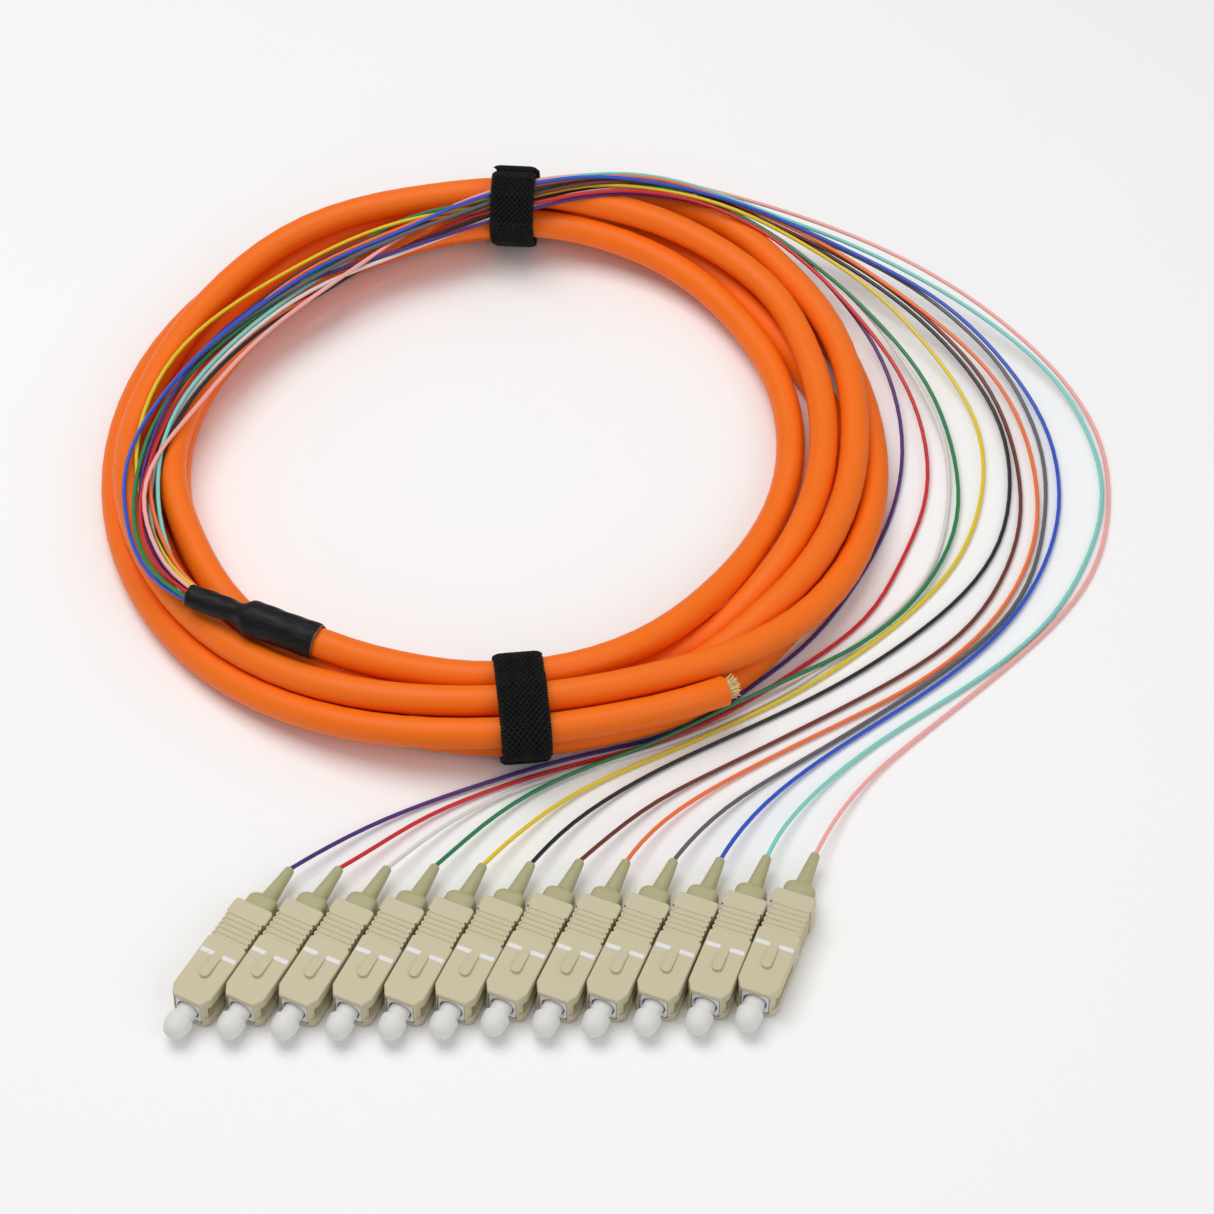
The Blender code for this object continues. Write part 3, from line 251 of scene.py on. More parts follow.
# The coil's turns, from the sleeve to the cut end: turn angle, radius and height
TURNS = (
    (246, 70.0, 14.2), (256, 68.7, 12.9), (270, 68.6, 11.9), (295, 68.4, 10.5), (320, 66.0, 7.5),
    (332, 65.4, 6.0), (365, 67.2, 5.0), (392, 70.1, 5.0), (419, 72.2, 7.0), (438, 70.9, 9.5),
    (450, 69.5, 10.3), (470, 67.0, 10.0), (493, 65.3, 9.0), (531, 67.4, 9.4), (548, 69.3, 9.4),
    (564, 69.0, 9.4), (584, 70.8, 9.2),
    (630, 72.5, 6.0), (655, 75.6, 3.9), (680, 76.5, 7.5), (689, 77.7, 8.7), (722, 80.2, 8.4),
    (743, 83.8, 9.0), (760, 85.5, 9.5), (774, 87.5, 10.5), (790, 84.0, 11.0), (810, 78.2, 10.3),
    (840, 77.5, 7.0), (870, 76.0, 3.6), (905, 75.3, 3.2), (945, 75.4, 3.4),
    (990, 78.8, 4.75), (1010, 78.6, 4.3), (1022, 78.2, 3.6), (1034, 77.9, 3.2), (1085, 77.4, 3.2), (1116, 75.5, 3.2),
    (1134, 79.1, 4.0), (1153, 78.5, 4.7), (1170, 75.2, 4.75), (1200, 71.0, 4.0), (1230, 68.6, 3.2),
    (1265, 69.0, 3.2), (1305, 68.5, 3.3),
    (1350, 66.3, 5.0), (1375, 69.3, 3.4), (1400, 70.6, 6.0), (1410, 71.1, 8.5), (1445, 73.7, 8.7),
    (1467, 77.3, 8.7), (1475, 79.5, 9.0), (1489, 78.7, 11.0), (1501, 77.6, 12.5), (1512, 76.0, 13.5),
    (1530, 74.6, 15.2), (1541, 74.4, 14.5), (1566, 77.6, 12.5), (1587, 77.0, 10.5), (1605, 76.8, 9.8),
    (1627, 79.0, 9.4), (1666, 78.2, 9.9),
    (1710, 75.2, 12.1), (1736, 76.8, 11.5), (1752, 80.4, 10.0), (1764, 82.5, 8.3), (1772, 83.2, 7.0),
    (1805, 84.2, 3.2), (1830, 86.0, 3.2), (1850, 86.0, 3.4), (1873, 83.5, 4.5), (1890, 81.4, 4.75),
    (1935, 82.0, 3.3), (1983, 81.7, 3.2), (2025, 81.5, 4.5),
    (2070, 81.8, 10.4), (2088, 82.2, 10.0), (2096, 83.5, 9.6), (2106, 85.7, 9.5),
)

# Each fibre's way from the sleeve to its connector
ROUTES = {
    "violet": (
        (-91.7, -13.5, 15), (-100.2, 9, 12.5), (-96.2, 39.5, 13.5), (-83.7, 65, 12.5), (-66.2, 80, 12),
        (-35.2, 94.5, 13.5), (-27.7, 98.5, 13.5), (-16.7, 101, 15), (-2.7, 105, 15.5),
        (24.8, 103, 13.5), (38.8, 95, 10.5), (52.3, 81, 6.5), (61.3, 65, 4), (65.3, 41.5, 1.5),
        (61.3, 18.5, 0.5), (49.8, -5, 0.5), (40.3, -18, 0.5), (32.3, -24.5, 0.5), (27.8, -28, 0.5),
        (19.3, -35.5, 0.5), (9.3, -41, 0.5), (0.3, -44, 0.5), (-5.2, -46, 0.5), (-10.7, -48, 0.5),
        (-21.2, -53.5, 1), (-31.3, -57.7, 0.5), (-41.1, -62.8, 0.8), (-48.8, -67.8, 1.5),
        (-54.4, -72.5, 2.3), (-58.1, -76, 3),
    ),
    "red": (
        (-92.2, -13.5, 14.5), (-95.7, -7.5, 13.5), (-99.2, 0, 13.5), (-94.7, 36, 12), (-81.2, 63, 11.5),
        (-48.7, 90, 11), (-37.2, 97, 13.5), (-27.7, 99.5, 15), (-16.7, 101.5, 15.5), (-2.7, 105.5, 16),
        (17.8, 104.5, 14.5), (34.3, 97, 11.5), (47.8, 86, 8), (65.3, 60.5, 3.5), (70.3, 41.5, 1.5),
        (69.8, 24.5, 0.5), (63.3, 7, 0.5), (55.8, -9, 0.5), (49.3, -15.5, 0.5), (40.8, -22, 0.5),
        (32.3, -28, 0.5), (26.8, -32, 0.5), (19.3, -36.5, 1.4), (9.3, -42, 1), (2.8, -44.5, 0.5),
        (-1.2, -46, 0.5), (-9.2, -49.5, 0.5), (-21.2, -55.2, 0.5), (-31.1, -60.6, 0.7),
        (-37, -64.6, 1.2), (-40.8, -68, 1.7), (-44.5, -71.9, 2.3), (-48.2, -76.1, 3),
    ),
    "white": (
        (-91.2, -12, 13.5), (-97.2, 3, 11), (-98.7, 9.5, 11.5), (-95.2, 36.5, 11.5), (-72.7, 73, 11.5),
        (-53.2, 86.5, 12), (-27.7, 99, 14), (-16.7, 102, 16), (-2.7, 106, 16.5), (8.8, 106.5, 16),
        (20.3, 104.5, 13.5), (48.3, 89.5, 7), (61.3, 73, 4.5), (70.8, 54.5, 2.5), (75.3, 39, 1),
        (71.3, 7, 0.5), (63.3, -6.5, 0.5), (36.3, -29.5, 0.5), (26.8, -34, 0.5), (17.3, -39, 0.5),
        (9.3, -43, 0.5), (-1.2, -47.5, 0.5), (-9.2, -51.5, 0.5), (-17.2, -55.1, 0.5),
        (-23.1, -59.1, 0.7), (-30.9, -65.1, 1.4), (-35.1, -69.5, 2.1), (-38.8, -74.4, 2.9),
    ),
    "green": (
        (-95.2, -12.5, 15), (-100.7, 8.5, 13), (-98.7, 33, 13.5), (-90.7, 51, 12.5), (-66.7, 81, 12),
        (-48.2, 97, 13), (-39.7, 97.5, 16), (-27.7, 100.5, 16), (-16.7, 103.5, 17), (-2.7, 107, 18),
        (20.3, 105, 15), (48.3, 87.5, 8.5), (61.3, 73.5, 5.5), (72.3, 55.5, 2.5), (76.8, 24.5, 0.5),
        (72.3, 7, 0.5), (61.3, -10.5, 0.5), (48.8, -21, 0.5), (36.3, -28.5, 1.2), (28.8, -33.5, 1.5),
        (19.3, -39, 1.2), (11.3, -44, 0.6), (-1.2, -49.5, 0.5), (-7.1, -52.4, 0.5), (-13.1, -56, 0.6),
        (-19, -60.7, 1), (-22.9, -64.6, 1.5), (-26.4, -68.9, 2.1), (-29.3, -73.6, 2.8),
    ),
    "yellow": (
        (-90.2, -13.5, 15), (-98.7, 6, 12), (-102.7, 27, 13), (-94.7, 58, 13), (-58.2, 92.5, 12.5),
        (-44.7, 98, 13), (-35.2, 97.5, 16), (-27.7, 100, 15.5), (-16.7, 102.5, 16.5), (-5.2, 106.5, 17),
        (20.3, 104.5, 15), (34.3, 99.5, 12.5), (48.3, 92.5, 9), (61.8, 82, 6.5), (80.3, 53.5, 2),
        (83.3, 36.5, 1), (75.8, 7, 0.5), (48.8, -23, 0.5), (19.3, -42, 0.5), (-3, -55.1, 0.6),
        (-9, -59.8, 1), (-12.9, -63.8, 1.5), (-16.8, -68.2, 2.1), (-20.6, -73.1, 2.9),
    ),
    "black": (
        (-92.2, -9, 12.5), (-97.7, 11, 10.5), (-93.2, 36, 11.5), (-80.7, 61, 11), (-72.7, 70, 11),
        (-64.2, 77, 11), (-54.7, 86.5, 11.5), (-44.2, 92, 12.5), (-35.2, 95, 14.5), (-27.7, 99.5, 14.5),
        (-16.7, 102.5, 16), (-5.2, 106, 17), (20.3, 105.5, 14.5), (48.3, 95, 9), (72.8, 74.5, 5),
        (87.8, 48, 1.5), (87.3, 19, 0.5), (79.3, 1, 0.5), (52.8, -25, 0.5), (8.6, -52.5, 0.5),
        (1.9, -57.8, 0.8), (-5.7, -64.6, 1.7), (-8.8, -68.6, 2.3), (-11.5, -72.7, 2.9),
    ),
    "brown": (
        (-92.7, -8, 12), (-99.7, 11.5, 10), (-93.7, 45, 11.5), (-73.2, 78.5, 12), (-51.2, 93.5, 13),
        (-37.2, 96.5, 15), (-27.7, 99.5, 15.5), (-16.7, 103, 17), (6.3, 107.5, 17.5),
        (20.3, 106.5, 14.5), (34.3, 101, 12.5), (48.3, 95.5, 9.5), (61.8, 86.5, 7.5), (81.8, 64, 3.5),
        (88.3, 48, 1.5), (90.3, 22, 0.5), (86.8, 7, 0.5), (78.3, -10, 0.5), (65.8, -22.5, 0.5),
        (19.1, -53.4, 0.5), (12.1, -57.9, 0.9), (6.3, -63.2, 1.5), (2, -68.1, 2.2), (-1.4, -72.7, 3),
    ),
    "orange": (
        (-91.2, -9.5, 13.5), (-97.7, 8.5, 11.5), (-97.2, 33, 12), (-85.7, 60, 12), (-70.7, 79.5, 12.5),
        (-53.2, 91, 13), (-27.7, 100.5, 17), (-16.7, 104, 17.5), (6.3, 107.5, 18), (20.3, 106.5, 15.5),
        (34.3, 101.5, 13), (48.3, 96, 10), (83.8, 64.5, 3.5), (91.8, 48.5, 1.5), (94.3, 22, 0.5),
        (90.3, 4.5, 0.5), (81.3, -12, 0.5), (67.8, -26, 0.5), (39.8, -44, 0.5), (26.2, -52.7, 0.5),
        (19.1, -58, 1), (14.2, -62.2, 1.5), (10.3, -66.5, 2.1), (7.2, -70.8, 2.8),
    ),
    "grey": (
        (-91.7, -9.5, 15), (-99.2, 10.5, 12), (-98.7, 36.5, 13), (-85.7, 60.5, 13), (-72.7, 74, 13),
        (-53.2, 90, 13), (-27.7, 100.5, 16.5), (-16.7, 103.5, 17.5), (-5.2, 107, 18),
        (8.8, 107.5, 17.5), (25.3, 106, 14), (66.8, 87.5, 7), (77.8, 78, 5), (88.8, 64, 3),
        (94.8, 48.5, 1), (96.8, 34, 0.5), (92.3, 5, 0.5), (83.3, -11.5, 0.5), (43.8, -45.5, 0.5),
        (35.1, -51.7, 0.5), (28.8, -56.8, 0.9), (23.8, -61.5, 1.5), (19.9, -66.1, 2.1),
        (16.8, -70.7, 2.8),
    ),
    "blue": (
        (-91.7, -17.5, 15), (-96.7, -11.5, 15.5), (-103.2, 9.5, 13), (-103.7, 23.5, 13.5),
        (-88.2, 55, 14), (-62.2, 85, 13), (-48.7, 92.5, 13), (-38.7, 97.5, 16), (-27.7, 101.5, 17.5),
        (-16.7, 104.5, 18.5), (-5.2, 107, 18.5), (24.8, 104.5, 15.5), (52.8, 94, 10.5), (77.8, 79, 6),
        (96.8, 49, 1.5), (98.8, 25, 0.5), (94.3, 7.5, 0.5), (84.8, -10.5, 0.5), (71.8, -25, 0.5),
        (44.1, -47.7, 0.5), (36.7, -54.8, 0.9), (32.2, -59.8, 1.4), (28.6, -64.8, 2.1),
        (25.4, -70.3, 2.9),
    ),
    "aqua": (
        (-91.7, -10.5, 12.5), (-96.7, 9, 11.5), (-95.2, 35.5, 12.5), (-75.7, 70, 12), (-46.7, 95, 12.5),
        (-36.2, 99, 16.5), (-27.7, 100.5, 17.5), (-16.7, 104.5, 18), (8.8, 108, 18), (24.8, 106, 15),
        (38.8, 100.5, 13), (52.8, 96.5, 10.5), (79.8, 81, 6.5), (99.8, 61.5, 3), (106.3, 48.5, 1),
        (108.8, 25, 0.5), (96.3, -7, 0.5), (82.3, -22.5, 0.5), (56.3, -43, 0.5), (47.9, -50.8, 0.6),
        (42.8, -56.5, 1.1), (39.1, -61.2, 1.7), (36.4, -65.4, 2.3), (33.4, -70.3, 3),
    ),
    "pink": (
        (-92.7, -11, 16), (-99.7, 7, 14), (-99.2, 19.5, 13), (-93.7, 32, 12), (-78.7, 61, 11),
        (-58.7, 81.5, 12.5), (-48.2, 92.5, 13), (-42.2, 98.5, 12.5), (-36.2, 99.5, 16),
        (-27.7, 102, 18), (-16.7, 105, 19), (8.8, 108, 17.5), (52.8, 99, 11), (80.3, 83, 7.5),
        (99.8, 63.5, 3.5), (107.8, 49, 1.5), (110.3, 35.5, 0.5), (106.8, 10.5, 0.5), (97.8, -6.5, 0.5),
        (60.3, -45.5, 0.5), (55.5, -50.2, 0.7), (51.7, -55.3, 1.2), (48.4, -60.1, 1.7),
        (45.5, -65.3, 2.4), (43.6, -69.9, 3),
    ),
}

# Which place each fibre takes in the sleeve's bore: degrees round it, ring 1 outer, 0 inner
SLOTS = {
    "orange": (10, 1), "yellow": (50, 1), "pink": (90, 1), "red": (130, 1), "green": (170, 1),
    "blue": (210, 1), "white": (250, 1), "brown": (290, 1), "aqua": (330, 1),
    "grey": (30, 0), "violet": (150, 0), "black": (270, 0),
}
SLOT_PITCH = 1.0 * MM
INNER_RING = SLOT_PITCH / math.sqrt(3)
OUTER_RING = SLOT_PITCH / (2 * math.sin(math.radians(20)))


# Smooth routes

def smooth_route(points, count):
    """Points at even steps along a smooth curve through the given ones."""
    points = np.asarray(points, float)
    knots = np.concatenate([[0.0], np.cumsum(np.sqrt(np.linalg.norm(np.diff(points, axis=0), axis=1)))])
    before, after = np.diff(knots)[:-1, None], np.diff(knots)[1:, None]
    rise = np.diff(points, axis=0) / np.diff(knots)[:, None]
    slopes = np.empty_like(points)
    slopes[0], slopes[-1] = rise[0], rise[-1]
    slopes[1:-1] = (rise[:-1] * after + rise[1:] * before) / (before + after)

    def at(place):
        k = np.clip(np.searchsorted(knots, place) - 1, 0, len(points) - 2)
        span = (knots[k + 1] - knots[k])[:, None]
        t = ((place - knots[k]) / (knots[k + 1] - knots[k]))[:, None]
        return (points[k] * (2 * t**3 - 3 * t**2 + 1) + slopes[k] * span * (t**3 - 2 * t**2 + t)
                + points[k + 1] * (3 * t**2 - 2 * t**3) + slopes[k + 1] * span * (t**3 - t**2))

    fine = at(np.linspace(0.0, knots[-1], 40 * len(points)))
    along = np.concatenate([[0.0], np.cumsum(np.linalg.norm(np.diff(fine, axis=0), axis=1))])
    even = np.linspace(0.0, along[-1], count)
    return np.stack([np.interp(even, along, fine[:, axis]) for axis in range(3)], axis=1)


def coil_route(turn_step):
    """The cable's centreline: a straight start in the sleeve, then turn after turn."""
    start = np.array(SLEEVE_CABLE_END)
    axis = start - np.array(SLEEVE_FIBRE_END)
    axis /= np.linalg.norm(axis)
    angles = np.radians([turn[0] for turn in TURNS])
    wanted = np.append(np.arange(angles[0], angles[-1] - turn_step / 2, turn_step), angles[-1])
    table = np.array([(angle, turn[1] * MM, turn[2] * MM) for angle, turn in zip(angles, TURNS)])
    fine = smooth_route(table * (1.0, 10.0, 10.0), 60 * len(TURNS)) / (1.0, 10.0, 10.0)
    radius = np.interp(wanted, fine[:, 0], fine[:, 1])
    height = np.interp(wanted, fine[:, 0], fine[:, 2])
    coil = np.stack([COIL_CENTRE.x + radius * np.cos(wanted), COIL_CENTRE.y + radius * np.sin(wanted), height], 1)
    inside = cable_socket_depth() - 2 * SLEEVE_FIT
    return np.vstack([start - axis * inside, start + axis * CABLE_STRAIGHT, coil]), (wanted - angles[0]) / COIL_STEP


def cable_socket_depth():
    length = (SLEEVE_CABLE_END - SLEEVE_FIBRE_END).length
    return length - SLEEVE_NECK - SLEEVE_NECK_LENGTH


def fibre_route(name, count):
    """A fibre's centreline, from its place in the sleeve's bore to its boot."""
    outward = (SLEEVE_FIBRE_END - SLEEVE_CABLE_END).normalized()
    side = outward.cross(Vector((0, 0, 1))).normalized()
    above = side.cross(outward)
    degrees, ring = SLOTS[name]
    turn = math.radians(degrees)
    radius = OUTER_RING if ring else INNER_RING
    slot = SLEEVE_FIBRE_END + radius * (math.cos(turn) * side + math.sin(turn) * above)
    nose, lean = connector_places()[name]
    back = Vector((math.sin(lean), math.cos(lean), 0))
    tip = nose + Vector((0, 0, GRIP_HEIGHT / 2)) + back * boot_end()
    straight = outward * (SLOT_STRAIGHT + SLOT_FAN * (OUTER_RING - radius * math.cos(turn)))
    chosen = [Vector(point) * MM for point in ROUTES[name]]
    middle = smooth_route([slot + straight, *chosen, tip + back * BOOT_STRAIGHT], count - 2)
    return np.vstack([slot - outward * FIBRE_INSET, middle, tip + back * BOOT_FIBRE_GAP])


def boot_end():
    return GRIP_LENGTH + COLLAR_REACH + BOOT_LENGTH


def connector_places():
    """Each connector's nose and lean, every grip laid against the one on its left."""
    nose, lean = FIRST_NOSE, FIRST_LEAN
    near, far = GRIP_NOSE_LENGTH, GRIP_LENGTH - GRIP_TAIL_ROUND
    places = {next(iter(ROUTES)): (nose, lean)}
    for name, (nose_gap, tail_gap, back) in ROW_GAPS.items():
        slope = (tail_gap - nose_gap) * MM / (far - near)
        edge = GRIP_WIDTH / 2 + nose_gap * MM + slope * (back * MM - near)
        corner = nose + edge * across(lean) + back * MM * Vector((math.sin(lean), math.cos(lean), 0))
        lean += math.atan(slope)
        nose = corner + GRIP_WIDTH / 2 * across(lean)
        places[name] = (nose, lean)
    return places


def across(lean):
    return Vector((math.cos(lean), -math.sin(lean), 0))


# Cords resting on one another

def nearest(p, d, q, e):
    """How far along p + s d and q + t e two rows of segments come closest."""
    apart = p - q
    a, b, c = (d * d).sum(1), (d * e).sum(1), (d * apart).sum(1)
    f, g = (e * apart).sum(1), (e * e).sum(1)
    spread = np.maximum(a * g - b * b, 1e-9 * a * g)
    s = np.clip((b * f - c * g) / spread, 0, 1)
    t = np.clip((b * s + f) / g, 0, 1)
    s = np.clip((b * t - c) / a, 0, 1)
    return s, t


def settle(routes, radii, held, lowest, rounds, stiffness):
    """Push cords apart until none overlaps, keeping each as smooth as it was.

    held is how many points stay put at a cord's two ends, or None for a cord that stays whole.
    """
    starts = np.cumsum([0] + [len(route) for route in routes])
    points = np.vstack(routes).astype(float)
    moves = np.ones((len(points), 1))
    for start, end, ends in zip(starts, starts[1:], held):
        if ends is None:
            moves[start:end] = 0.0
        else:
            moves[start:start + ends[0]] = 0.0
            moves[end - ends[1]:end] = 0.0
    first = np.concatenate([np.arange(start, end - 1) for start, end in zip(starts, starts[1:])])
    inner = np.concatenate([np.arange(start + 1, end - 1) for start, end in zip(starts, starts[1:])])
    owner = np.concatenate([np.full(len(route) - 1, k) for k, route in enumerate(routes)])
    radius = np.asarray(radii)[owner]
    floor = np.concatenate([np.broadcast_to(low, len(route)) for route, low in zip(routes, lowest)])
    wanted = points.copy()
    bend = points[inner] - (points[inner - 1] + points[inner + 1]) / 2
    rows, columns = np.triu_indices(len(first), 1)
    loose = (moves[first] + moves[first + 1])[:, 0]
    kept = (loose[rows] + loose[columns] > 0) & ((owner[rows] != owner[columns]) | (columns - rows > 3))
    rows, columns = rows[kept], columns[kept]
    for step in range(rounds):
        if step % 10 == 0:
            middle = (points[first] + points[first + 1]) / 2
            reach = np.linalg.norm(points[first + 1] - points[first], axis=1) / 2 + radius + NEIGHBOURS
            close = np.linalg.norm(middle[rows] - middle[columns], axis=1) < reach[rows] + reach[columns]
            i, j = rows[close], columns[close]
        p, q = points[first[i]], points[first[j]]
        d, e = points[first[i] + 1] - p, points[first[j] + 1] - q
        s, t = nearest(p, d, q, e)
        gap = p + d * s[:, None] - q - e * t[:, None]
        length = np.maximum(np.linalg.norm(gap, axis=1), 1e-7)
        lack = np.maximum(radius[i] + radius[j] + REST_GAP - length, 0)
        push = 0.8 * (lack / length)[:, None] * gap
        shift, count = np.zeros_like(points), np.zeros(len(points))
        for index, weight, side in ((first[i], 1 - s, 1), (first[i] + 1, s, 1),
                                    (first[j], 1 - t, -1), (first[j] + 1, t, -1)):
            np.add.at(shift, index, side * push * weight[:, None])
            np.add.at(count, index, (lack > 0) * weight)
        points += shift / np.maximum(count, 1)[:, None] * moves
        if step < rounds * 0.6:
            sag = points[inner] - (points[inner - 1] + points[inner + 1]) / 2 - bend
            points[inner] -= stiffness * sag * moves[inner]
            points += RECALL * (wanted - points) * moves
        points[:, 2] = np.maximum(points[:, 2], floor)
    return [points[start:end] for start, end in zip(starts, starts[1:])]


def lowest_heights(coil):
    """How low the cable's centreline may lie: higher where a strap passes under it."""
    angle = np.arctan2(coil[:, 1] - COIL_CENTRE.y, coil[:, 0] - COIL_CENTRE.x)
    heights = np.full(len(coil), CABLE_DIAMETER / 2)
    for middle in (STRAP_TOP_ANGLE, STRAP_BOTTOM_ANGLE):
        off = np.abs((angle - middle + np.pi) % (2 * np.pi) - np.pi)
        heights[off < COIL_STEP] += STRAP_THICKNESS + STRAP_CLEARANCE + REST_GAP
    return heights


def lay_cords():
    """All centrelines, settled: the coil on itself, then the fibres on the coil."""
    sleeve = np.array([SLEEVE_FIBRE_END, SLEEVE_CABLE_END])
    thick, thin = CABLE_DIAMETER / 2, FIBRE_DIAMETER / 2
    coil, _ = coil_route(COIL_STEP)
    coil, _ = settle([coil, sleeve], [thick, sleeve_radius()], [(2, 1), None], [lowest_heights(coil), 0],
                     ROUNDS, COIL_STIFFNESS)
    names = list(ROUTES)
    guards = strap_guards(coil)
    routes = [fibre_route(name, FIBRE_POINTS) for name in names] + [coil] + guards
    radii = [thin] * len(names) + [thick] + [thick + STRAP_CLEARANCE + STRAP_THICKNESS] * len(guards)
    held = [(2, 2)] * len(names) + [None] * (1 + len(guards))
    laid = settle(routes, radii, held, [thin] * len(routes), ROUNDS, FIBRE_STIFFNESS)
    return coil, dict(zip(names, laid))


def radial_frame(angle):
    """The straps' plane: outward and along the cable at this angle round the coil."""
    return Vector((math.cos(angle), math.sin(angle), 0)), Vector((-math.sin(angle), math.cos(angle), 0))


def crossings(route, angle, offset):
    """Where a route crosses the radial plane at an angle, shifted along the cable."""
    outward, along = radial_frame(angle)
    local = route - np.array(COIL_CENTRE)
    ahead = local @ np.array(along) - offset
    found = []
    for k in range(len(route) - 1):
        if ahead[k] * ahead[k + 1] <= 0 and ahead[k] != ahead[k + 1]:
            point = local[k] + (local[k + 1] - local[k]) * (ahead[k] / (ahead[k] - ahead[k + 1]))
            if point @ np.array(outward) > 0:
                found.append((point @ np.array(outward), point[2]))
    return found


def strap_guards(coil):
    """Short rods along the bottom strap, which keep the loose fibres outside it."""
    outward, along = radial_frame(STRAP_BOTTOM_ANGLE)
    half = STRAP_WIDTH / 2
    ends = []
    for radius, height in crossings(coil, STRAP_BOTTOM_ANGLE, 0.0):
        middle = np.array(COIL_CENTRE) + radius * np.array(outward) + np.array((0, 0, height))
        ends.append(np.array([middle - half * np.array(along), middle + half * np.array(along)]))
    return ends


def convex_outline(points):
    """The convex hull of 2D points, anticlockwise."""
    points = sorted(set(points))

    def chain(row):
        kept = []
        for point in row:
            while len(kept) > 1 and ((kept[-1][0] - kept[-2][0]) * (point[1] - kept[-2][1])
                                     - (kept[-1][1] - kept[-2][1]) * (point[0] - kept[-2][0])) <= 0:
                kept.pop()
            kept.append(point)
        return kept[:-1]

    return chain(points) + chain(points[::-1])


def strap_path(bundle, start):
    """A strap's centre path round the bundle, overlapping itself at its end."""
    ring = [math.radians(10 * k) for k in range(36)]
    cloud = [(u + r * math.cos(a), z + r * math.sin(a)) for u, z, r in bundle for a in ring]
    hull = np.array(convex_outline(cloud))
    hull = np.vstack([hull, hull[:1]])
    along = np.concatenate([[0.0], np.cumsum(np.linalg.norm(np.diff(hull, axis=0), axis=1))])
    around = along[-1]
    total = around + STRAP_LAP
    count = int(total / STRAP_STEP)
    places = np.linspace(0.0, total, count) + start * around

    def at(place):
        place = place % around
        return np.array([np.interp(place, along, hull[:, 0]), np.interp(place, along, hull[:, 1])])

    path = []
    for place in places:
        ahead, behind = at(place + STRAP_REACH), at(place - STRAP_REACH)
        run = (ahead - behind) / np.linalg.norm(ahead - behind)
        ramp = np.clip((place - places[0] - around + STRAP_RAMP) / STRAP_RAMP, 0, 1)
        path.append(at(place) + np.array([run[1], -run[0]]) * ramp * (STRAP_THICKNESS + STRAP_LAP_GAP))
    return path


def sleeve_radius():
    return CABLE_DIAMETER / 2 + SLEEVE_FIT + SLEEVE_WALL


# Meshes

def add_piece(name, mesh, looks, place=None):
    for look in looks:
        mesh.materials.append(look)
    made = bpy.data.objects.new(name, mesh)
    bpy.context.scene.collection.objects.link(made)
    if place is not None:
        made.matrix_world = place
    return made


def directions(path):
    """At each point of a path: ahead, to the side and above, with no twist."""
    steps = np.gradient(path, axis=0)
    ahead = steps / np.linalg.norm(steps, axis=1)[:, None]
    side = np.cross(ahead[0], (0.0, 0.0, 1.0))
    sides = []
    for direction in ahead:
        side = side - direction * (side @ direction)
        side = side / np.linalg.norm(side)
        sides.append(side)
    sides = np.array(sides)
    return ahead, sides, np.cross(sides, ahead)


def tube_rings(path, radius, count, start=(), end=()):
    """Rings of a cord; start and end add rings of their own, as pairs of shift and radius."""
    ahead, side, above = directions(np.asarray(path))
    turn = np.linspace(0.0, 2 * np.pi, count, endpoint=False)[:, None]
    rows = [(0, shift, r) for shift, r in start] + [(k, 0.0, radius) for k in range(len(path))]
    rows += [(len(path) - 1, shift, r) for shift, r in end]
    return [path[k] + ahead[k] * shift + r * (np.cos(turn) * side[k] + np.sin(turn) * above[k])
            for k, shift, r in rows]


def oval_rings(rows, count):
    """Rings round local Y from rows of length, half width, half height and squareness."""
    turn = np.linspace(0.0, 2 * np.pi, count, endpoint=False) + np.pi / count
    across, up = np.cos(turn), np.sin(turn)
    rings = []
    for length, wide, high, square in rows:
        power = 2.0 / square
        rings.append(np.stack([wide * np.sign(across) * np.abs(across) ** power, np.full(count, length),
                               high * np.sign(up) * np.abs(up) ** power], axis=1))
    return rings


def skin(name, rings, closed_ends=True):
    """A skin over closed rings of points; its UV map is millimetres along and round it."""
    rings = np.asarray(rings, float)
    count, sides = rings.shape[:2]
    k, s = np.meshgrid(np.arange(count - 1), np.arange(sides), indexing="ij")
    t = (s + 1) % sides
    faces = np.stack([k * sides + s, k * sides + t, (k + 1) * sides + t, (k + 1) * sides + s], -1).reshape(-1, 4)
    faces = faces.tolist()
    if closed_ends:
        faces += [list(range(sides))[::-1], list(range((count - 1) * sides, count * sides))]
    mesh = bpy.data.meshes.new(name)
    mesh.from_pydata(rings.reshape(-1, 3).tolist(), [], faces)
    centres = rings.mean(axis=1)
    along = np.concatenate([[0.0], np.cumsum(np.linalg.norm(np.diff(centres, axis=0), axis=1))]) / MM
    widest = rings[np.argmax(np.linalg.norm(rings - centres[:, None], axis=2).mean(axis=1))]
    round_it = np.concatenate([[0.0], np.cumsum(np.linalg.norm(np.roll(widest, -1, 0) - widest, axis=1))]) / MM
    corners = np.stack([np.stack([along[k], round_it[s]], -1), np.stack([along[k], round_it[s + 1]], -1),
                        np.stack([along[k + 1], round_it[s + 1]], -1),
                        np.stack([along[k + 1], round_it[s]], -1)], -2)
    layer = mesh.uv_layers.new(name="lengths")
    flat = np.zeros((len(mesh.loops), 2))
    flat[:corners.size // 2] = corners.reshape(-1, 2)
    layer.data.foreach_set("uv", flat.ravel())
    tidy_mesh(mesh)
    return mesh


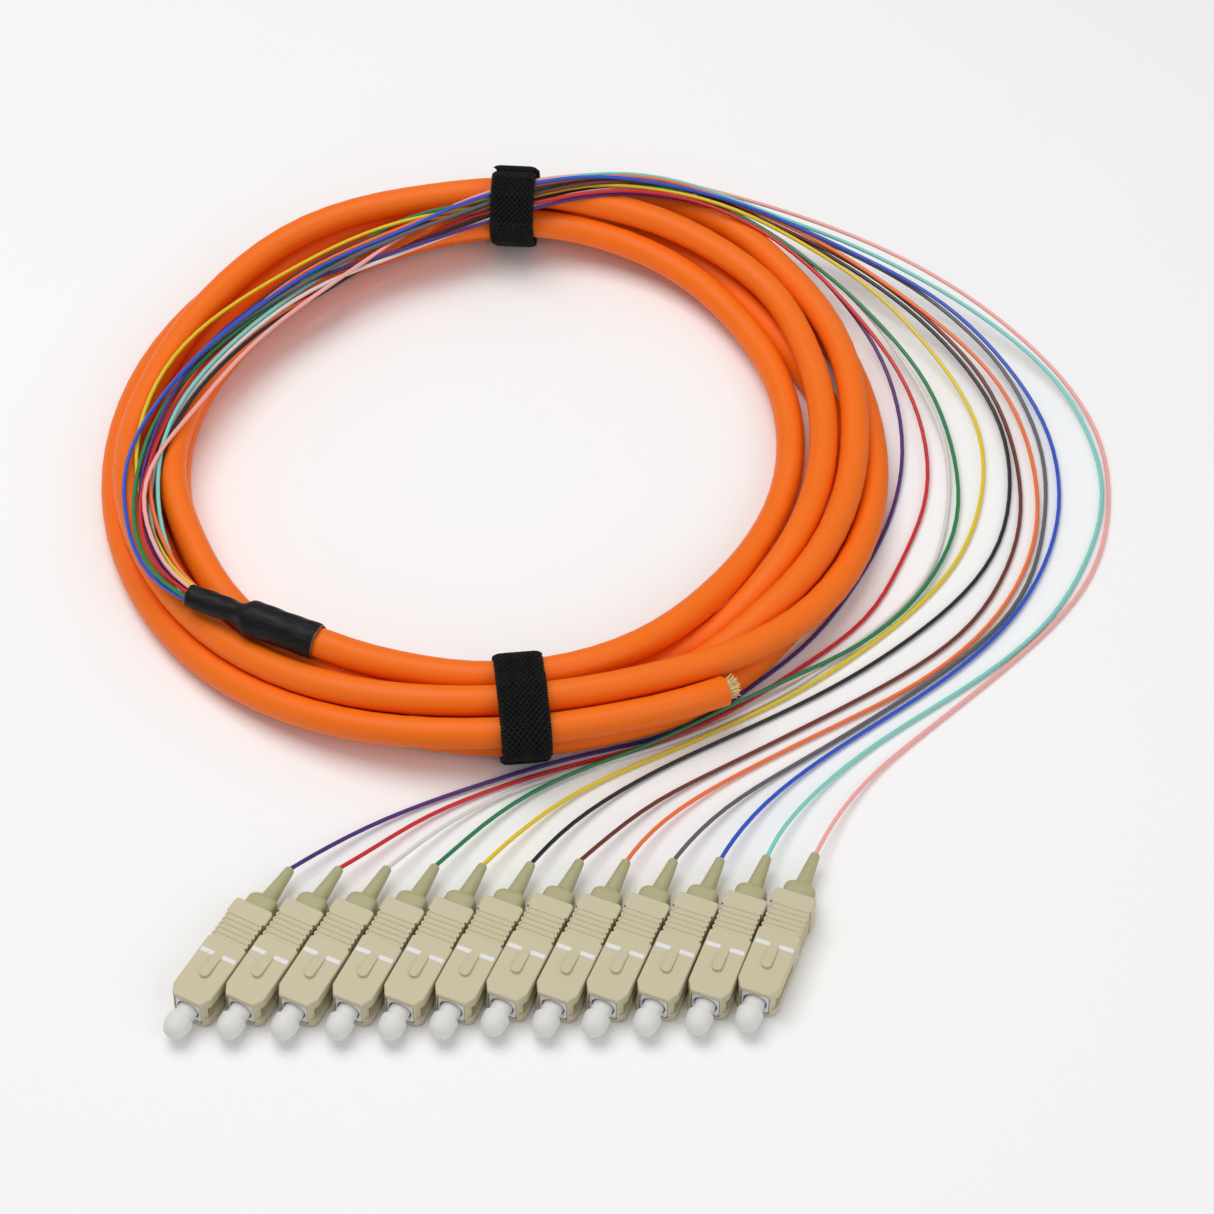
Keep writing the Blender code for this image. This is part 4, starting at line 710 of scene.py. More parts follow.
def tidy_mesh(mesh, sharp=35):
    """Point every face outwards, and smooth all but the sharp edges."""
    shape = bmesh.new()
    shape.from_mesh(mesh)
    bmesh.ops.recalc_face_normals(shape, faces=shape.faces)
    for face in shape.faces:
        face.smooth = True
    for edge in shape.edges:
        edge.smooth = edge.calc_face_angle(0.0) < math.radians(sharp)
    shape.to_mesh(mesh)
    shape.free()


def joined(name, meshes):
    """Several meshes as one, each keeping the material number it comes with."""
    shape = bmesh.new()
    for mesh, number in meshes:
        first = len(shape.faces)
        shape.from_mesh(mesh)
        shape.faces.ensure_lookup_table()
        for face in shape.faces[first:]:
            face.material_index = number
        bpy.data.meshes.remove(mesh)
    mesh = bpy.data.meshes.new(name)
    shape.to_mesh(mesh)
    shape.free()
    return mesh


def plate(name, outline, low, high, edge, hard=None):
    """A solid with a flat outline between two heights, rounded except at its hard height."""
    shape = bmesh.new()
    base = shape.faces.new([shape.verts.new((x, y, low)) for x, y in outline])
    wall = bmesh.ops.extrude_face_region(shape, geom=[base])["geom"]
    bmesh.ops.translate(shape, vec=(0, 0, high - low), verts=[v for v in wall if isinstance(v, bmesh.types.BMVert)])
    bmesh.ops.recalc_face_normals(shape, faces=shape.faces)
    if edge:
        rims = [e for e in shape.edges if e.calc_face_angle(0.0) > math.radians(20)
                and not all(hard is not None and abs(v.co.z - hard) < 0.01 * MM for v in e.verts)]
        bmesh.ops.bevel(shape, geom=rims, offset=edge, segments=3, profile=0.5, affect="EDGES")
    mesh = bpy.data.meshes.new(name)
    shape.to_mesh(mesh)
    shape.free()
    return mesh


def carve(mesh, steps):
    """Join the meshes marked UNION to a mesh, and cut away those marked DIFFERENCE."""
    body = bpy.data.objects.new(mesh.name, mesh)
    tools = []
    for tool, operation in steps:
        item = bpy.data.objects.new(tool.name, tool)
        tools.append(item)
        change = body.modifiers.new(tool.name, "BOOLEAN")
        change.operation, change.object, change.solver = operation, item, "EXACT"
    for item in [body] + tools:
        bpy.context.scene.collection.objects.link(item)
    bpy.context.view_layer.update()
    made = bpy.data.meshes.new_from_object(body.evaluated_get(bpy.context.evaluated_depsgraph_get()))
    for item in [body] + tools:
        data = item.data
        bpy.data.objects.remove(item)
        bpy.data.meshes.remove(data)
    return made


def arc(x, y, radius, first, last, count):
    """Points on an arc in a flat outline, angles in degrees."""
    return [(x + radius * math.cos(math.radians(a)), y + radius * math.sin(math.radians(a)))
            for a in np.linspace(first, last, count)]


# Cords

def eased(rows, places):
    """Rows at places between whole numbers, on a smooth curve through the given rows."""
    ends = np.vstack([2 * rows[0] - rows[1], rows, 2 * rows[-1] - rows[-2]])
    k = np.clip(places.astype(int), 0, len(rows) - 2)
    t = (places - k)[:, None]
    a, b, c, d = (ends[k + shift] for shift in range(4))
    return b + 0.5 * t * (c - a + t * (2 * a - 5 * b + 4 * c - d + t * (3 * (b - c) + d - a)))


def softened(rows, times=1):
    """Rows with each but the first and last drawn towards its two neighbours."""
    rows = rows.copy()
    for _ in range(times):
        rows[1:-1] = (rows[:-2] + 2 * rows[1:-1] + rows[2:]) / 4
    return rows


def fine_cords():
    """The centrelines as the CAD lays them, drawn smooth and then settled once more."""
    coarse, fibres = lay_cords()
    sleeve = np.array([SLEEVE_FIBRE_END, SLEEVE_CABLE_END])
    thick, thin = CABLE_DIAMETER / 2, FIBRE_DIAMETER / 2
    first, _ = coil_route(COIL_STEP)
    coil, places = coil_route(COIL_STEP / FINE_COIL_SPLIT)
    last = len(coarse) - 3
    coil[2:] += eased(softened(coarse - first)[2:], np.minimum(places, last))
    coil, _ = settle([coil, sleeve], [thick, sleeve_radius()], [(2, 1), None], [lowest_heights(coil), 0],
                     FINE_ROUNDS, FIBRE_STIFFNESS)
    coil = softened(coil)
    guards = strap_guards(coil)
    names, routes = list(fibres), []
    for name in names:
        route = fibre_route(name, FINE_FIBRE_POINTS)
        moved = softened(fibres[name] - fibre_route(name, FIBRE_POINTS))[1:-1]
        route[1:-1] += eased(moved, np.linspace(0, len(moved) - 1, len(route) - 2))
        routes.append(route)
    radii = [thin] * len(names) + [thick] + [thick + STRAP_CLEARANCE + STRAP_THICKNESS] * len(guards)
    held = [(2, 2)] * len(names) + [None] * (1 + len(guards))
    laid = settle(routes + [coil] + guards, radii, held, [thin] * len(radii), FINE_ROUNDS, FIBRE_STIFFNESS)
    return coil, {name: softened(route, FIBRE_SMOOTHING) for name, route in zip(names, laid)}


def add_trunk(coil):
    r = CABLE_DIAMETER / 2
    bore = r - JACKET_WALL
    end = [(0.6 * JACKET_ROUND, r - 0.35 * JACKET_ROUND), (JACKET_ROUND, r - JACKET_ROUND),
           (JACKET_ROUND, bore + JACKET_ROUND), (0.5 * JACKET_ROUND, bore), (-CORE_RECESS, bore),
           (-CORE_RECESS, NARROWEST)]
    jacket = skin("trunk_cable_jacket", tube_rings(coil, r, CABLE_SIDES, end=end))
    made = add_piece("trunk_cable_jacket", jacket, [finish("jacket"), finish("yarn")])
    inside = (len(coil) + len(end) - 2) * CABLE_SIDES
    for face in jacket.polygons:
        if min(face.vertices) >= inside:
            face.material_index = 1
    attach(made, "bundle")
    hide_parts("trunk_cable")


def add_fibre(name, route):
    rings = tube_rings(route, FIBRE_DIAMETER / 2, FIBRE_SIDES)
    made = add_piece("fibre_" + name + "_buffer", skin("fibre_" + name, rings), [finish(name)])
    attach(made, "bundle")
    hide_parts("fibre_" + name)


# Sleeve and yarn

def sleeve_place():
    axis = (SLEEVE_CABLE_END - SLEEVE_FIBRE_END).normalized()
    side = axis.cross(Vector((0, 0, 1))).normalized()
    above = side.cross(axis)
    turn = Matrix((side, axis, above)).transposed().to_4x4()
    return Matrix.Translation(SLEEVE_FIBRE_END) @ turn


def add_sleeve():
    """The shrunk sleeve with its creases, and a ring of glue at each of its ends."""
    length = (SLEEVE_CABLE_END - SLEEVE_FIBRE_END).length
    wide, narrow = sleeve_radius(), SLEEVE_FIBRE_BORE + SLEEVE_WALL
    bore = CABLE_DIAMETER / 2 + SLEEVE_FIT
    shoulder = SLEEVE_NECK + SLEEVE_NECK_LENGTH
    lengths = np.arange(0.25 * MM, length - 0.2 * MM, SLEEVE_RING_STEP)
    rise = np.clip((lengths - SLEEVE_NECK) / SLEEVE_NECK_LENGTH, 0, 1)
    outer = narrow + (wide - narrow) * rise * rise * (3 - 2 * rise)
    rows = [(SLEEVE_FIBRE_DEPTH, NARROWEST), (SLEEVE_FIBRE_DEPTH, SLEEVE_FIBRE_BORE),
            (0.2 * MM, SLEEVE_FIBRE_BORE), (0, SLEEVE_FIBRE_BORE + 0.15 * MM), (0, narrow - 0.15 * MM)]
    rows += list(zip(lengths, outer))
    rows += [(length, wide - 0.12 * MM), (length, bore + 0.08 * MM), (length - 0.2 * MM, bore),
             (length - 3 * MM, bore), (length - 3 * MM, NARROWEST)]
    rings = np.array(oval_rings(round_rows(rows), SLEEVE_SIDES))
    turn = np.arctan2(rings[:, :, 2], rings[:, :, 0])
    y = rings[:, :, 1] / MM
    depth, place, reach, side, width = SLEEVE_DENT
    dent = depth * np.exp(-((y - place) / reach) ** 2) * np.exp(-((turn - side) / width) ** 2)
    spread = np.exp(-((y - shoulder / MM + 1.5) / SLEEVE_FOLD_REACH) ** 2)
    fold = 0.10 * np.sin(3 * turn + 0.9 * y) * spread + 0.05 * np.sin(5 * turn - 1.3 * y + 1.0)
    lie = 0.05 * np.sin(0.55 * y + 2 * turn)
    swell = np.array([r for _, r in rows])[:, None]
    outside = ((swell > narrow - 0.01 * MM) & (y > 0.2) & (y < length / MM - 0.15))
    change = 1 + outside * (fold + lie - dent - 0.08) * MM / np.maximum(swell, 1 * MM)
    rings[:, :, 0] *= change
    rings[:, :, 2] *= change
    sleeve = skin("breakout_sleeve_shrunk", rings)
    made = add_piece("breakout_sleeve_shrunk", sleeve, [finish("sleeve")], sleeve_place())
    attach(made, "bundle")
    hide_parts("breakout_sleeve")
    fibre_end = (-0.05 * MM, SLEEVE_FIBRE_BORE - 0.5 * MM, narrow - 0.3 * MM)
    cable_end = (length + 0.1 * MM, bore - 0.15 * MM, wide - 0.3 * MM)
    for name, (place, inner, outer) in (("glue_ring_fibres", fibre_end), ("glue_ring_cable", cable_end)):
        middle, half = (inner + outer) / 2, (outer - inner) / 2
        turn = np.linspace(0, 2 * np.pi, 9)[:-1]
        profile = [(place + GLUE_HALF_LENGTH * math.sin(a), middle + half * math.cos(a)) for a in turn]
        rings = np.array(oval_rings(round_rows(profile + profile[:1]), SLEEVE_SIDES))
        rings[:, :, 1] += GLUE_RIPPLE * np.sin(5 * np.arctan2(rings[:, :, 2], rings[:, :, 0]))
        ring = add_piece(name, skin(name, rings, closed_ends=False), [finish("glue")], sleeve_place())
        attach(ring, "bundle")


def add_yarn(coil):
    """The cut yarn: a loose tuft of fine strands, most of it at the jacket's upper side."""
    ahead, side, above = (rows[-1] for rows in directions(np.asarray(coil)))
    draw = np.random.default_rng(YARN_SEED)
    meshes = []
    for _ in range(YARN_STRANDS):
        angle = draw.uniform(0, 2 * np.pi)
        reach = YARN_CORE * math.sqrt(draw.uniform(0, 1))
        out = np.array((math.cos(angle), math.sin(angle)))
        length = draw.uniform(*YARN_LENGTH)
        spread = draw.uniform(*YARN_SPREAD)
        lean = draw.normal(0, YARN_WANDER, 2) + YARN_LEAN
        steps = np.linspace(0, 1, 7)[:, None]
        across = out * reach * (1 + spread * steps ** 1.5) + lean * steps ** 2 * length
        across = across + draw.normal(0, YARN_CURL, 2) * np.sin(steps * draw.uniform(3, 7))
        path = coil[-1] + ahead * (steps * length - CORE_RECESS) + across[:, :1] * side + across[:, 1:] * above
        thick = draw.uniform(*YARN_THICKNESS)
        meshes.append((skin("strand", tube_rings(path, thick, 5, end=[(0.05 * MM, 0.5 * thick)])), 0))
    made = add_piece("aramid_yarn_strands", joined("aramid_yarn_strands", meshes), [finish("yarn")])
    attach(made, "bundle")
    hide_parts("aramid_yarn")


# Straps

def add_strap(name, node, angle, start, coil, fibres):
    """A strap's band round what it holds, with a woven face and toothed edges."""
    bundle = []
    for part in (-0.5, -0.25, 0.0, 0.25, 0.5):
        for routes, diameter in (([coil], CABLE_DIAMETER), (fibres, FIBRE_DIAMETER)):
            for route in routes:
                bundle += [(u, z, diameter / 2 + STRAP_CLEARANCE)
                           for u, z in crossings(route, angle, part * STRAP_WIDTH)]
    path = np.array(strap_path(bundle, start))
    outward, along = (np.array(direction) for direction in radial_frame(angle))
    run = np.gradient(path, axis=0)
    run /= np.linalg.norm(run, axis=1)[:, None]
    away = np.stack([run[:, 1], -run[:, 0]], axis=1)
    length = np.concatenate([[0.0], np.cumsum(np.linalg.norm(np.diff(path, axis=0), axis=1))])
    across = np.linspace(-1, 1, STRAP_ACROSS)
    edge = 1 - np.abs(across) ** 10
    turn = 2 * np.pi / WEAVE_PITCH
    columns = across * STRAP_WIDTH / 2 / MM
    rings = []
    for k in range(len(path)):
        place = length[k] / MM
        wide = STRAP_WIDTH / 2 - STRAP_HEM + STRAP_TOOTH * (math.sin(turn * place) > 0)
        bead = np.maximum(np.cos(turn / 2 * (columns + place)), np.cos(turn / 2 * (columns - place)))
        top = STRAP_THICKNESS - WEAVE_HEIGHT + WEAVE_HEIGHT * bead * edge
        upper = np.stack([across * wide, top * (0.55 + 0.45 * edge)], 1)
        lower = np.stack([across[::-1] * wide, STRAP_THICKNESS * (0.45 - 0.45 * (1 - across[::-1] ** 10))], 1)
        section = np.vstack([upper, lower])
        centre = np.array(COIL_CENTRE) + outward * path[k, 0] + np.array((0, 0, path[k, 1]))
        lift = outward * away[k, 0] + np.array((0, 0, away[k, 1]))
        rings.append(centre + section[:, :1] * along + section[:, 1:] * lift)
    made = add_piece(name, skin(name, rings), [finish("strap")])
    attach(made, "bundle")
    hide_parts(node)


# Connectors


# Connectors

def grip_mesh():
    """The grip: its two halves and key joined, then bored, windowed, grooved and marked."""
    half, tall = GRIP_WIDTH / 2, GRIP_HEIGHT / 2
    nose, split = half - GRIP_NOSE_CHAMFER, -WINDOW_HEIGHT / 2
    tail = arc(half - GRIP_TAIL_ROUND, GRIP_LENGTH - GRIP_TAIL_ROUND, GRIP_TAIL_ROUND, 0, 90, 6)
    upper = [(nose, 0.0), (half, GRIP_NOSE_LENGTH)] + tail
    lower = arc(half - GRIP_LIP_ROUND, GRIP_LIP_ROUND, GRIP_LIP_ROUND, -90, 0, 8) + tail
    seam = split + 0.02 * MM
    body = plate("grip", both_sides(upper), split, tall, GRIP_EDGE, split)
    steps = [(plate("grip_base", both_sides(lower), -tall, seam, GRIP_EDGE, seam), "UNION"),
             (key_mesh(tall), "UNION")]
    wide, high = MOUTH_WIDTH / 2 + MOUTH_GAP, MOUTH_HEIGHT / 2 + MOUTH_GAP
    bore = rectangle(-wide, wide, -MM, GRIP_LENGTH + MM)
    steps.append((plate("grip_bore", bore, -high, high, 0), "DIFFERENCE"))
    wide, high = COLLAR_WIDTH / 2 + SLIDE_GAP, COLLAR_HEIGHT / 2 + SLIDE_GAP
    bore = rectangle(-wide, wide, FRAME_RECESS + FRAME_LENGTH - GRIP_TRAVEL - SLIDE_GAP, GRIP_LENGTH + MM)
    steps.append((plate("grip_tail_bore", bore, -high, high, 0), "DIFFERENCE"))
    deep, out = half - WINDOW_DEPTH, half + MM
    recess = [(out, WINDOW_START), (deep, WINDOW_START), (deep, WINDOW_FLOOR_END),
              (half - 0.35 * MM, WINDOW_END - 0.8 * MM), (half - 0.3 * MM, WINDOW_END), (out, WINDOW_END)]
    slit = [(0.0, WINDOW_START), (0.0, SLIT_END), (out, SLIT_END), (out, WINDOW_START)]
    for side in (1, -1):
        for name, outline, share in (("recess", recess, 1.0), ("slit", slit, 0.8)):
            turned = [(side * x, y) for x, y in outline]
            high = share * WINDOW_HEIGHT / 2
            tool = plate("grip_%s_%d" % (name, side > 0), turned, -high, high, 0)
            steps.append((tool, "DIFFERENCE"))
    steps.append((joined("grip_grooves", groove_tools(half, tall)), "DIFFERENCE"))
    first, last = RIB_START - 0.7 * RIB_PITCH, RIB_START + (RIB_COUNT - 0.3) * RIB_PITCH
    for side in (1, -1):
        inner, outer = side * (half - WAIST_DEPTH), side * out
        waist = [(inner, first + WAIST_DEPTH), (inner, last - WAIST_DEPTH), (outer, last + MM), (outer, first - MM)]
        steps.append((plate("grip_waist_%d" % (side > 0), waist, -tall - MM, tall + MM, 0), "DIFFERENCE"))
    made = carve(body, steps)
    tidy_mesh(made, 38)
    marks = []
    for side in (1, -1):
        x, y = side * MARK_PLACE[0], MARK_PLACE[1]
        wide, long = MARK_SIZE[0] / 2, MARK_SIZE[1] / 2
        outline = rectangle(x - wide, x + wide, y - long, y + long)
        marks.append((plate("mark", outline, tall - 0.02 * MM, tall + 0.025 * MM, 0), 1))
    return even_normals(joined("grip", [(made, 0)] + marks))


def key_mesh(tall):
    """The key on the grip's top, which slopes down towards the back."""
    reach, end = KEY_WIDTH / 2, KEY_START + KEY_LENGTH
    outline = arc(0, KEY_START + reach, reach, 180, 360, 11) + [(reach, end), (-reach, end)]
    key = plate("grip_key", outline, tall - 0.3 * MM, tall + KEY_HEIGHT, 0.16 * MM, tall - 0.3 * MM)
    for vert in key.vertices:
        fall = max(0.0, (vert.co.y - KEY_START - reach) / (KEY_LENGTH - reach))
        if vert.co.z > tall:
            vert.co.z = tall + (vert.co.z - tall) * (1 - KEY_SLOPE * fall)
    return key


def groove_tools(half, tall):
    """What cuts the finger grooves: long ovals across top and bottom, round rods at the sides."""
    cuts = []
    for k in range(RIB_COUNT):
        y = RIB_START + k * RIB_PITCH
        for level in (1, -1):
            rows = [(-RIB_HALF, 0.02), (-RIB_HALF, 0.7), (-RIB_HALF + 0.25 * MM, 1), (RIB_HALF - 0.25 * MM, 1),
                    (RIB_HALF, 0.7), (RIB_HALF, 0.02)]
            rows = [(x, GROOVE_HALF * s, GROOVE_DEPTH * s, 2.0) for x, s in rows]
            rings = np.array(oval_rings(rows, GROOVE_SIDES))
            rings = rings[:, :, [1, 0, 2]] + np.array((0, y, level * (tall + GROOVE_LIFT)))
            cuts.append((skin("groove", rings), 0))
    turn = np.linspace(0, 2 * np.pi, NOTCH_SIDES + 1)[:-1]
    for k in range(RIB_COUNT + 1):
        y = RIB_START + (k - 0.5) * RIB_PITCH
        for side in (1, -1):
            ring = np.stack([side * half + NOTCH_DEPTH * np.cos(turn), y + NOTCH_HALF * np.sin(turn), 0 * turn], 1)
            top = (0, 0, tall + 0.1 * MM)
            cuts.append((skin("notch", [ring - top, ring + top]), 0))
    return cuts


def rectangle(left, right, front, back):
    return [(left, front), (right, front), (right, back), (left, back)]


def both_sides(outline):
    return outline + [(-x, y) for x, y in reversed(outline)]


def even_normals(mesh):
    """Let large flat faces shade flat beside their rounded edges."""
    item = bpy.data.objects.new(mesh.name, mesh)
    bpy.context.scene.collection.objects.link(item)
    even = item.modifiers.new("Even", "WEIGHTED_NORMAL")
    even.keep_sharp = True
    bpy.context.view_layer.update()
    made = bpy.data.meshes.new_from_object(item.evaluated_get(bpy.context.evaluated_depsgraph_get()))
    bpy.data.objects.remove(item)
    return made


def round_rows(rows):
    """Rows for oval_rings from pairs of length and radius."""
    return [(y, r, r, 2.0) for y, r in rows]


def plug_meshes():
    """The white frame with its ferrule, the soft boot with its collar, and the dust cap."""
    back = FRAME_RECESS + FRAME_LENGTH
    return frame_mesh(back), boot_mesh(back), cap_mesh()


def frame_mesh(back):
    wide, high, front = MOUTH_WIDTH / 2, MOUTH_HEIGHT / 2, MOUTH_RECESS
    tip, deep = FRAME_RECESS + FERRULE_RECESS, FRAME_RECESS + SOCKET_DEPTH
    rows = round_rows([(back, NARROWEST)])
    rows += [(y, wide - inset * MM, high - inset * MM, square) for y, inset, square in (
        (back, 0.15, 9), (back - 0.2 * MM, 0.0, 9), (front + 0.22 * MM, 0.0, 9), (front + 0.06 * MM, 0.07, 9),
        (front, 0.22, 8))]
    rows += round_rows([
        (front, MOUTH_HOLE + 0.1 * MM), (front + 0.1 * MM, MOUTH_HOLE), (deep, MOUTH_HOLE), (deep, FERRULE_RADIUS),
        (tip + 0.3 * MM, FERRULE_RADIUS), (tip, FERRULE_RADIUS - 0.25 * MM), (tip, NARROWEST)])
    return skin("plug_frame", oval_rings(rows, ROUND_SIDES))


def boot_mesh(back):
    wide, high, neck = COLLAR_WIDTH / 2, COLLAR_HEIGHT / 2, BOOT_BASE_RADIUS
    shoulder, end = GRIP_LENGTH + COLLAR_REACH, boot_end()
    rows = [(back, NARROWEST, NARROWEST, 2), (back, 0.9 * wide, 0.9 * high, 4), (back + 0.4 * MM, wide, high, 4.2),
            (shoulder - 1.7 * MM, wide, high, 4.2)]
    for t in np.linspace(0.12, 1, 9):
        round_in, drop = math.sin(t * math.pi / 2), 1 - math.cos(t * math.pi / 2)
        rows.append((shoulder - (1.7 - 1.6 * round_in) * MM, wide - (wide - neck - 0.4 * MM) * drop,
                     high - (high - neck - 0.35 * MM) * drop, 4.2 - 2.0 * t))
    rows.append((shoulder + 0.02 * MM, neck + 0.22 * MM, neck + 0.2 * MM, 2.1))
    bore, tip = FIBRE_DIAMETER / 2 + 0.06 * MM, BOOT_TIP_RADIUS
    rows += round_rows([
        (shoulder + 0.3 * MM, neck + 0.07 * MM), (shoulder + 0.8 * MM, neck), (end - 0.5 * MM, tip + 0.02 * MM),
        (end - 0.2 * MM, tip - 0.05 * MM), (end - 0.03 * MM, tip - 0.2 * MM), (end, tip - 0.34 * MM),
        (end - 0.03 * MM, bore), (end - 0.5 * MM, bore), (end - 0.5 * MM, NARROWEST)])
    return skin("boot", oval_rings(rows, ROUND_SIDES))


def cap_mesh():
    head, stem, bore, r = CAP_HEAD_LENGTH - CAP_REACH, CAP_STEM_RADIUS, CAP_BORE_RADIUS, CAP_HEAD_RADIUS
    inner = CAP_INSERT - CAP_REACH + 1.5 * MM
    rows = [(inner, NARROWEST), (inner, bore), (CAP_INSERT - 0.1 * MM, bore), (CAP_INSERT, bore + 0.08 * MM),
            (CAP_INSERT, stem - 0.1 * MM), (CAP_INSERT - 0.12 * MM, stem), (head + 0.15 * MM, stem),
            (head, stem + 0.12 * MM), (head, r - 0.12 * MM), (head - 0.1 * MM, r)]
    rows += [(head - ahead * MM, r - narrower * MM) for ahead, narrower in CAP_DOME] + [(-CAP_REACH, NARROWEST)]
    return skin("dust_cap", oval_rings(round_rows(rows), ROUND_SIDES))


def add_connector(name, meshes):
    nose, lean = connector_places()[name]
    place = Matrix.Translation(nose + Vector((0, 0, GRIP_HEIGHT / 2))) @ Matrix.Rotation(-lean, 4, "Z")
    grip, plug, boot, cap = meshes
    pieces = []
    for kind, mesh, body, node, slot in (
            ("grip_shell_", grip, "grip_" + name, "grip_" + name, "grip"),
            ("plug_frame_", plug, "bundle", "plug_" + name, "plug"), ("boot_", boot, "bundle", None, "plug"),
            ("dust_cap_", cap, "cap_" + name, "cap_" + name, "cap")):
        piece = bpy.data.objects.new(kind + name, mesh)
        bpy.context.scene.collection.objects.link(piece)
        piece.matrix_world = place
        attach(piece, body)
        if node:
            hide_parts(node)
        pieces.append(piece)
    return pieces


# Looks

def tint(red, green, blue):
    """A colour as a screen shows it, from 0 to 255, made linear."""
    return (*(((c / 255 + 0.055) / 1.055) ** 2.4 if c > 10 else c / 255 / 12.92 for c in (red, green, blue)), 1.0)


def add_node(tree, kind, inputs=None, **settings):
    made = tree.nodes.new("ShaderNode" + kind)
    for key, value in settings.items():
        setattr(made, key, value)
    for key, value in (inputs or {}).items():
        if isinstance(value, bpy.types.NodeSocket):
            tree.links.new(value, made.inputs[key])
        else:
            made.inputs[key].default_value = value
    return made


def maths(tree, operation, *values):
    return add_node(tree, "Math", dict(enumerate(values)), operation=operation).outputs[0]


def within(tree, value, low, high, **ends):
    """A value's place between two limits, from 0 to 1."""
    return add_node(tree, "MapRange", {"Value": value, "From Min": low, "From Max": high, **ends}).outputs["Result"]


def mixed(tree, amount, first, second):
    return add_node(tree, "Mix", {"Factor": amount, 6: first, 7: second}, data_type="RGBA").outputs[2]


def new_group(name, inputs, outputs):
    """A node group with named sockets, and the nodes that stand for its two ends."""
    tree = bpy.data.node_groups.new(name, "ShaderNodeTree")
    for label, kind, value in inputs:
        socket = tree.interface.new_socket(label, in_out="INPUT", socket_type="NodeSocket" + kind)
        socket.default_value = value
    for label, kind in outputs:
        tree.interface.new_socket(label, in_out="OUTPUT", socket_type="NodeSocket" + kind)
    return tree, tree.nodes.new("NodeGroupInput").outputs, tree.nodes.new("NodeGroupOutput").inputs


def moulded_surface_group():
    """Soft patches of tone, a fine grain and a few dark specks, different on every piece."""
    tree, given, result = new_group(
        "moulded_surface",
        [("Colour", "Color", (0.5, 0.5, 0.5, 1)), ("Roughness", "Float", 0.4), ("Tone change", "Float", 0.05),
         ("Patch scale", "Float", 100.0), ("Grain scale", "Float", 4000.0), ("Grain depth", "Float", 0.00001),
         ("Specks", "Float", 0.0)],
        [("Colour", "Color"), ("Roughness", "Float"), ("Normal", "Vector")])
    where = add_node(tree, "TexCoord").outputs["Object"]
    which = add_node(tree, "ObjectInfo").outputs["Random"]
    moved = add_node(tree, "VectorMath", {0: where, 1: which}, operation="ADD").outputs[0]
    patch = add_node(tree, "TexNoise", {"Vector": moved, "Scale": given["Patch scale"], "Detail": 3.0})
    grain = add_node(tree, "TexNoise", {"Vector": moved, "Scale": given["Grain scale"], "Detail": 2.0})
    even = maths(tree, "SUBTRACT", patch.outputs["Fac"], 0.5)
    fine = maths(tree, "SUBTRACT", grain.outputs["Fac"], 0.5)
    both = maths(tree, "MULTIPLY_ADD", fine, 0.35, even)
    tone = maths(tree, "MULTIPLY_ADD", both, given["Tone change"], 1.0)
    shaded = add_node(tree, "VectorMath", {0: given["Colour"], "Scale": tone}, operation="SCALE").outputs[0]
    cells = add_node(tree, "TexVoronoi", {"Vector": moved, "Scale": SPECKS_SCALE}).outputs
    rare = add_node(tree, "TexWhiteNoise", {"Vector": cells["Position"]}).outputs["Value"]
    small = within(tree, cells["Distance"], *SPECK_EDGE, **{"To Min": 1.0, "To Max": 0.0})
    few = maths(tree, "GREATER_THAN", rare, SPECK_SHARE)
    speck = maths(tree, "MULTIPLY", small, few)
    amount = maths(tree, "MULTIPLY", speck, given["Specks"])
    colour = mixed(tree, amount, shaded, tint(*SPECK))
    rough = maths(tree, "MULTIPLY_ADD", both, 0.25, given["Roughness"])
    bump = add_node(tree, "Bump", {"Height": grain.outputs["Fac"], "Distance": given["Grain depth"]})
    for label, socket in (("Colour", colour), ("Roughness", rough), ("Normal", bump.outputs["Normal"])):
        tree.links.new(socket, result[label])
    return tree


def drawn_streaks_group():
    """Faint lines that run along a drawn cord, and scuffs where it rubbed."""
    tree, given, result = new_group(
        "drawn_streaks", [("Line width", "Float", 0.4), ("Line length", "Float", 30.0), ("Strength", "Float", 0.1)],
        [("Streaks", "Float"), ("Scuffs", "Float")])
    where = add_node(tree, "SeparateXYZ", {0: add_node(tree, "UVMap", uv_map="lengths").outputs["UV"]}).outputs
    along = maths(tree, "DIVIDE", where["X"], given["Line length"])
    across = maths(tree, "DIVIDE", where["Y"], given["Line width"])
    place = add_node(tree, "CombineXYZ", {0: along, 1: across}).outputs[0]
    lines = add_node(tree, "TexNoise", {"Vector": place, "Scale": 1.0, "Detail": 2.0}).outputs["Fac"]
    place = add_node(tree, "CombineXYZ", {0: along, 1: where["Y"]}).outputs[0]
    patches = add_node(tree, "TexNoise", {"Vector": place, "Scale": 0.9, "Detail": 3.0}).outputs["Fac"]
    rubbed = within(tree, patches, 0.55, 0.75)
    scuffs = maths(tree, "MULTIPLY", rubbed, lines)
    for label, socket in (("Streaks", lines), ("Scuffs", scuffs)):
        scaled = maths(tree, "MULTIPLY", socket, given["Strength"])
        tree.links.new(scaled, result[label])
    return tree


GROUPS = {}
LOOKS = {}


def shared_group(maker):
    if maker not in GROUPS:
        GROUPS[maker] = maker()
    return GROUPS[maker]


